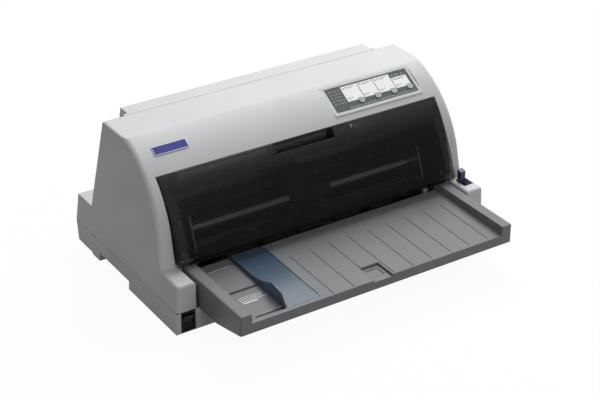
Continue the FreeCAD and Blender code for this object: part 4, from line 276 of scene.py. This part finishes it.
def cast_metal(name, color, rough=0.5):
    """Cast or painted metal with a pebbled face."""
    s = Shader(name)
    s.set(Base_Color=s.shades(s.noise(0.004, 3.0), color, 0.85, 1.12),
          Metallic=0.85, Roughness=s.patches(0.002, 3.0, rough - 0.08, rough + 0.1))
    s.bump(s.noise(0.0011, 3.0), 0.00006)
    return s.material


def painted(name, color):
    """Painted metal under a thin clear coat."""
    s = Shader(name)
    s.set(Base_Color=s.shades(s.noise(0.01, 3.0), color, 0.9, 1.1),
          Roughness=s.patches(0.003, 3.0, 0.32, 0.44), Coat_Weight=0.2)
    s.bump(s.noise(0.002), 0.00002)
    return s.material


def rubbery(name, color):
    """Ground rubber, dull with fine grinding marks and dust."""
    s = Shader(name)
    dust = s.patches(0.006, 5.0, 0.0, 0.35, cut=(0.5, 0.8))
    s.set(Base_Color=s.mix(dust, color, srgb(74, 73, 72)),
          Roughness=s.patches(0.002, 3.0, 0.68, 0.85))
    s.bump(s.noise(0.0004, 2.0, (3, 1, 1)), 0.00005)
    return s.material


def laminate(name):
    """Green lacquered circuit board with lighter tracks."""
    s = Shader(name)
    tracks = s.add("ShaderNodeTexBrick", {"offset": 0.5},
                   Vector=s.place, Scale=95.0, Mortar_Size=0.035,
                   Color1=srgb(20, 84, 46), Color2=srgb(24, 96, 52), Mortar=srgb(44, 124, 74))
    s.set(Base_Color=tracks.outputs["Color"],
          Roughness=s.patches(0.004, 2.0, 0.25, 0.4), Coat_Weight=0.25)
    s.bump(tracks.outputs["Fac"], 0.00003)
    return s.material


# Materials
PART_LINE = 0.032
MATERIALS = {
    "case_plastic": moulded("case_plastic", srgb(203, 205, 206), dust=0.12, seam=PART_LINE),
    "base_plastic": moulded("base_plastic", srgb(203, 205, 205), 0.52, dust=0.25, seam=PART_LINE),
    "tray_plastic": moulded("tray_plastic", srgb(125, 126, 129), 0.4, grain=0.0005, gloss=0.15),
    "smoked_plastic": smoked("smoked_plastic"),
    "guide_plastic": tinted("guide_plastic", srgb(74, 94, 113), 0.88),
    "panel_plastic": printed("panel_plastic", srgb(80, 88, 86)),
    "button_plastic": satin("button_plastic", srgb(164, 169, 167)),
    "plate_film": printed("plate_film", srgb(58, 68, 146), 0.3),
    "switch_plastic": moulded("switch_plastic", srgb(18, 19, 20), 0.38, grain=0.0004, gloss=0.08),
    "lever_plastic": satin("lever_plastic", srgb(32, 44, 84), 0.38),
    "mechanism_plastic": moulded("mechanism_plastic", srgb(58, 59, 61), 0.42, grain=0.0004),
    "gear_plastic": satin("gear_plastic", srgb(226, 224, 214), 0.34),
    "rubber": rubbery("rubber", srgb(38, 38, 39)),
    "zinc_steel": zinc_sheet("zinc_steel"),
    "shaft_steel": turned_steel("shaft_steel"),
    "head_metal": cast_metal("head_metal", srgb(120, 122, 126)),
    "motor_metal": painted("motor_metal", srgb(48, 49, 52)),
    "board_laminate": laminate("board_laminate"),
    "port_metal": cast_metal("port_metal", srgb(96, 97, 101), 0.36),
}
PRINT_WHITE = printed("print_white", srgb(246, 248, 246))
PRINT_DARK = printed("print_dark", srgb(70, 78, 76))
PRINT_PALE = printed("print_pale", srgb(176, 182, 179))


def dress_nodes():
    """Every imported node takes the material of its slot."""
    for part in frame["record"]["subparts"]:
        node = NODES[part["node"]]
        node.data.materials.clear()
        node.data.materials.append(MATERIALS[part["material_slot"]])
        for polygon in node.data.polygons:
            polygon.material_index = 0


# Mesh helpers
def new_piece(name, bm, material, body, place):
    """A piece from a bmesh in millimetres, put in its place and riding on a body."""
    bmesh.ops.recalc_face_normals(bm, faces=bm.faces)
    mesh = bpy.data.meshes.new(name)
    bm.to_mesh(mesh)
    bm.free()
    mesh.transform(Matrix.Scale(MM, 4) @ place)
    mesh.materials.append(material)
    piece = bpy.data.objects.new(name, mesh)
    bpy.context.scene.collection.objects.link(piece)
    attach(piece, body)


def flat_face(bm, outline):
    """One flat face with that outline."""
    return bm.faces.new([bm.verts.new((x, y, 0)) for x, y in outline])


def rounded_face(bm, x0, y0, x1, y1, radius, steps=3):
    """A flat rectangle with rounded corners."""
    face = flat_face(bm, ((x0, y0), (x1, y0), (x1, y1), (x0, y1)))
    corners = bmesh.ops.bevel(bm, geom=face.verts[:], offset=radius, segments=steps, profile=0.5,
                              affect="VERTICES", material=-1)["verts"]
    return corners[0].link_faces[0]


def raise_up(bm, faces, height):
    """Extrude flat faces to a closed plate of that height."""
    raised = bmesh.ops.extrude_face_region(bm, geom=faces)["geom"]
    top = [part for part in raised if isinstance(part, bmesh.types.BMVert)]
    bmesh.ops.translate(bm, verts=top, vec=(0, 0, height))


# Print and trim
# Millimetres in four frames on the case: x to the right, y up the slope, z out of it.
def slope_frame(y, z, tilt):
    """A frame at that depth and height, tilted back by that angle in degrees."""
    return Matrix.Translation((0, y, z)) @ Matrix.Rotation(math.radians(tilt), 4, "X")


PANEL = slope_frame(22.83, 196.90, 30.2)
BADGE = slope_frame(21.0, 197.8, 31.7)
POCKET = slope_frame(-140.0, 55.6, 1.202)
DECK = slope_frame(-190.0, 57.0, 1.202)

FILM = 0.12
DASH_HEIGHT = 1.4 * FILM
WINDOW_HEIGHT = 1.6 * FILM
DASH_ROUND = 0.45

# The panel's white fields: left, right and top. They share their foot line.
FIELDS = ((86.9, 113.1, 17.4), (114.1, 138.0, 17.4), (139.0, 165.1, 17.4), (166.1, 190.0, 10.2))
FIELD_LOW = -7.4
BUTTON_FIRST = 106.8
BUTTON_PITCH = 26.4
BUTTON_ROW = -9.95
BUTTON_HOLE = 5.3
BITE_STEPS = 12

# Rows of dark marks in each field: upper rows from its top, lower rows above the buttons.
UPPER_COUNTS = (5, 4)
UPPER_INDENT = 1.8
UPPER_DROP = 2.0
UPPER_STEP = 2.1
LOWER_COUNTS = (3, 2)
LOWER_INDENT = 1.6
LOWER_DROP = 2.2
LOWER_STEP = 2.2

# The column of dashes between two fields.
DIVIDER_COUNT = 9
DIVIDER_INDENT = 0.1
DIVIDER_DROP = 1.2
DIVIDER_STEP = 2.8

# The small light windows at the panel's left end, and where the marks beside them start.
WINDOW_COUNT = 5
WINDOW_SIDES = (66.2, 68.8)
WINDOW_TOP = 13.6
WINDOW_PITCH = 5.1
WINDOW_HALF = 0.6
WINDOW_ROUND = 0.5
WINDOW_MARKS = 71.6

# Two rows under the fields: where each starts. The caption stands over the last, low field.
FOOT_COUNT = 27
FOOT_PITCH = 3.9
FOOT_UPPER = (86.0, -16.2)
FOOT_LOWER = (84.4, -18.1)
CAPTION_START = (168.0, 14.0)
CAPTION_PITCH = 5.2
CAPTION_LOWER = 0.6
CAPTION_LENGTHS = (3.4, 4.2, 2.6, 3.8)
STROKE_WIDE = 1.3


def dash(bm, x, y, length, width, height=FILM):
    """A flat printed stroke that starts at x."""
    half = width / 2
    raise_up(bm, [rounded_face(bm, x, y - half, x + length, y + half, DASH_ROUND * width, 2)],
             height)


def dash_row(bm, count, x, y, pitch, length, width, height=FILM,
             longer=0.0, phase=0, lower=0.0, cycle=2):
    """Strokes in a row. Every other one is longer, and they step down in each cycle."""
    for mark in range(count):
        dash(bm, x + pitch * mark, y - lower * (mark % cycle),
             length + longer * ((mark + phase) % 2), width, height)


def field_outline(left, right, top, button):
    """A field with a round bite in its foot, where the button stands in the panel.

    The bite ends on the foot line, or on the field's right side if that comes first.
    """
    start = math.asin((FIELD_LOW - BUTTON_ROW) / BUTTON_HOLE)
    reach = min(1.0, (right - button) / BUTTON_HOLE)
    cut_by_side = reach < math.cos(start)
    end = math.acos(reach) if cut_by_side else start
    points = [(left, top), (left, FIELD_LOW)]
    for step in range(BITE_STEPS + 1):
        angle = math.pi - start + (end - math.pi + start) * step / BITE_STEPS
        points.append((button + BUTTON_HOLE * math.cos(angle),
                       BUTTON_ROW + BUTTON_HOLE * math.sin(angle)))
    if not cut_by_side:
        points.append((right, FIELD_LOW))
    return points + [(right, top)]


def make_panel_fields():
    """The white fields round the buttons."""
    bm = bmesh.new()
    for number, (left, right, top) in enumerate(FIELDS):
        button = BUTTON_FIRST + BUTTON_PITCH * number
        raise_up(bm, [flat_face(bm, field_outline(left, right, top, button))], FILM)
    new_piece("panel_fields", bm, PRINT_WHITE, "case", PANEL)


def make_panel_marks():
    """Dark rows of small marks in the fields, and dashes between the fields."""
    bm = bmesh.new()
    for number, (left, right, top) in enumerate(FIELDS):
        for row, count in enumerate(UPPER_COUNTS):
            y = top - UPPER_DROP - UPPER_STEP * row
            dash_row(bm, count, left + UPPER_INDENT, y, pitch=4.3, length=2.2, width=0.9,
                     height=DASH_HEIGHT, longer=1.2, phase=row + number)
        for row, count in enumerate(LOWER_COUNTS):
            y = -LOWER_DROP - LOWER_STEP * row
            dash_row(bm, count, left + LOWER_INDENT, y, pitch=3.4, length=2.4, width=0.7,
                     height=DASH_HEIGHT)
        if number < len(FIELDS) - 1:
            for mark in range(DIVIDER_COUNT):
                y = top - DIVIDER_DROP - DIVIDER_STEP * mark
                dash(bm, right + DIVIDER_INDENT, y, length=0.8, width=STROKE_WIDE,
                     height=DASH_HEIGHT)
    new_piece("panel_marks", bm, PRINT_DARK, "case", PANEL)


def make_panel_pale_marks():
    """The light windows with their marks, the rows under the fields and the caption."""
    bm = bmesh.new()
    left, right = WINDOW_SIDES
    for row in range(WINDOW_COUNT):
        y = WINDOW_TOP - WINDOW_PITCH * row
        window = rounded_face(bm, left, y - WINDOW_HALF, right, y + WINDOW_HALF, WINDOW_ROUND)
        raise_up(bm, [window], WINDOW_HEIGHT)
        dash_row(bm, 3, WINDOW_MARKS, y, pitch=4.6, length=2.8, width=0.9, longer=0.8, phase=row)
    dash_row(bm, FOOT_COUNT, *FOOT_UPPER, FOOT_PITCH, length=2.5, width=STROKE_WIDE, lower=0.3)
    dash_row(bm, FOOT_COUNT, *FOOT_LOWER, FOOT_PITCH, length=2.3, width=0.8, lower=0.2, cycle=3)
    x, y = CAPTION_START
    for mark, length in enumerate(CAPTION_LENGTHS):
        dash(bm, x + CAPTION_PITCH * mark, y - CAPTION_LOWER * (mark % 2), length, STROKE_WIDE)
    new_piece("panel_pale_marks", bm, PRINT_PALE, "case", PANEL)


# The ticks in the pocket: y, pitch and width of each row. The lines: x, y, length and width; the
# last is a painted highlight along a step in the pocket floor.
TICK_LEFT = -176.0
TICK_SPAN = 34
TICK_SHARE = 0.55
TICK_ROWS = ((6.6, 2.6, 1.0), (3.4, 3.7, 1.4), (0.2, 2.9, 1.0))
POCKET_LINES_AND_HIGHLIGHT = ((-176.5, -2.6, 36.0, 0.7), (-175.5, -6.0, 21.0, 1.6), (-178.0, 76.0, 33.0, 0.7))

# Flat boxes: left, low, right, high.
# The pocket's slot and the gap beside the guide: dark strips of painted shade.
POCKET_SLOT_SHADE = (-178.0, -39.4, -92.0, -36.6)
GUIDE_GAP_SHADE = (-89.0, 12.0, -87.8, 137.0)
# The badge's pale rim is a painted highlight along the plate's edge.
BADGE_OUTLINE = (-203.0, -6.45, -154.5, 6.45)
BADGE_ROUND = 1.2
BADGE_HIGHLIGHT_WIDTH = 0.7
BADGE_PLATE_TOP = 0.5


def make_pocket_ticks_and_highlight():
    """The pale ticks and lines of the setting guide in the pocket, with a painted highlight along
    a step in its floor.
    """
    bm = bmesh.new()
    for y, pitch, width in TICK_ROWS:
        dash_row(bm, int(TICK_SPAN / pitch), TICK_LEFT, y, pitch, TICK_SHARE * pitch, width)
    # The last of these lines is a painted highlight, not print.
    for x, y, length, width in POCKET_LINES_AND_HIGHLIGHT:
        dash(bm, x, y, length, width)
    new_piece("pocket_ticks_and_highlight", bm, PRINT_WHITE, "case", POCKET)


def make_gap_shade_strip(name, box, radius, steps, height, place):
    """A thin dark strip on the tray: painted shade that stands in for a narrow gap."""
    bm = bmesh.new()
    raise_up(bm, [rounded_face(bm, *box, radius, steps)], height)
    new_piece(name, bm, MATERIALS["switch_plastic"], "case", place)


def make_badge_highlight_rim():
    """A narrow pale rim round the blank blue plate: a painted highlight along its edge."""
    bm = bmesh.new()
    face = rounded_face(bm, *BADGE_OUTLINE, BADGE_ROUND, 4)
    rim = bmesh.ops.inset_region(bm, faces=[face], thickness=BADGE_HIGHLIGHT_WIDTH, use_boundary=True,
                                 use_even_offset=True)["faces"]
    bmesh.ops.delete(bm, geom=[face], context="FACES")
    raise_up(bm, rim, FILM)
    new_piece("badge_highlight_rim", bm, PRINT_WHITE, "case",
              BADGE @ Matrix.Translation((0, 0, BADGE_PLATE_TOP)))


# Stage and light
WHITE = (1, 1, 1, 1)
FLOOR_HALF = 12
FLOOR_DROP = 0.0002
FLOOR_GREY = (0.3, 0.3, 0.3, 1)
FLOOR_GLOW = 0.95
WORLD_LIGHT = 0.225
WORLD_LOOK = 1.0

# Name, place, what it points at, size and watts.
LAMPS = (
    ("key", (0.9, 0.95, 1.9), (0, 0.02, 0.1), 1.5, 48),
    ("fill", (0.15, -2.0, 1.3), (0, 0, 0.1), 1.2, 11),
)


def seen_directly(tree):
    """1 where the camera, a mirror or a see-through part looks at it, 0 where it sheds light."""
    path = tree.nodes.new("ShaderNodeLightPath")
    value = path.outputs["Is Camera Ray"]
    for ray in ("Is Glossy Ray", "Is Transmission Ray"):
        either = tree.nodes.new("ShaderNodeMath")
        either.operation = "MAXIMUM"
        tree.links.new(value, either.inputs[0])
        tree.links.new(path.outputs[ray], either.inputs[1])
        value = either.outputs[0]
    return value


def floor_material():
    """A grey matte floor that looks white, with a share of its light left to show the shadow."""
    s = Shader("floor")
    looks = seen_directly(s.tree)
    rest = 1 - FLOOR_GLOW
    s.set(Base_Color=s.mix(looks, FLOOR_GREY, (rest, rest, rest, 1)), Roughness=0.9,
          Specular_IOR_Level=0.0, Emission_Color=WHITE,
          Emission_Strength=s.math("MULTIPLY", looks, FLOOR_GLOW))
    return s.material


def make_stage():
    """The floor, a hair below the feet."""
    bm = bmesh.new()
    bmesh.ops.create_grid(bm, x_segments=1, y_segments=1, size=FLOOR_HALF)
    mesh = bpy.data.meshes.new("floor")
    bm.to_mesh(mesh)
    bm.free()
    mesh.materials.append(floor_material())
    floor = bpy.data.objects.new("floor", mesh)
    floor.location = (0, 0, -FLOOR_DROP)
    bpy.context.scene.collection.objects.link(floor)


def make_world():
    """A world that looks white and sheds a softer light."""
    world = bpy.data.worlds.new("world")
    bpy.context.scene.world = world
    world.use_nodes = True
    tree = world.node_tree
    background = tree.nodes["Background"]
    strength = tree.nodes.new("ShaderNodeMapRange")
    strength.inputs["To Min"].default_value = WORLD_LIGHT
    strength.inputs["To Max"].default_value = WORLD_LOOK
    tree.links.new(seen_directly(tree), strength.inputs["Value"])
    tree.links.new(strength.outputs[0], background.inputs["Strength"])
    background.inputs["Color"].default_value = WHITE


def make_lamp(name, at, towards, size, power):
    """A square lamp that points at something."""
    data = bpy.data.lights.new(name, "AREA")
    data.shape = "RECTANGLE"
    data.size = data.size_y = size
    data.energy = power
    lamp = bpy.data.objects.new(name, data)
    lamp.location = at
    lamp.rotation_euler = (Vector(towards) - Vector(at)).to_track_quat("-Z", "Y").to_euler()
    bpy.context.scene.collection.objects.link(lamp)


make_camera()
dress_nodes()
make_panel_fields()
make_panel_marks()
make_panel_pale_marks()
make_badge_highlight_rim()
make_pocket_ticks_and_highlight()
# Painted shade: dark strips where a slot and a gap would lie in shadow.
make_gap_shade_strip("pocket_slot_shade", POCKET_SLOT_SHADE, radius=1.2, steps=4, height=0.06, place=POCKET)
make_gap_shade_strip("guide_gap_shade", GUIDE_GAP_SHADE, radius=0.3, steps=2, height=0.05, place=DECK)
make_stage()
make_world()
for lamp in LAMPS:
    make_lamp(*lamp)
bpy.context.scene.view_settings.view_transform = "Standard"
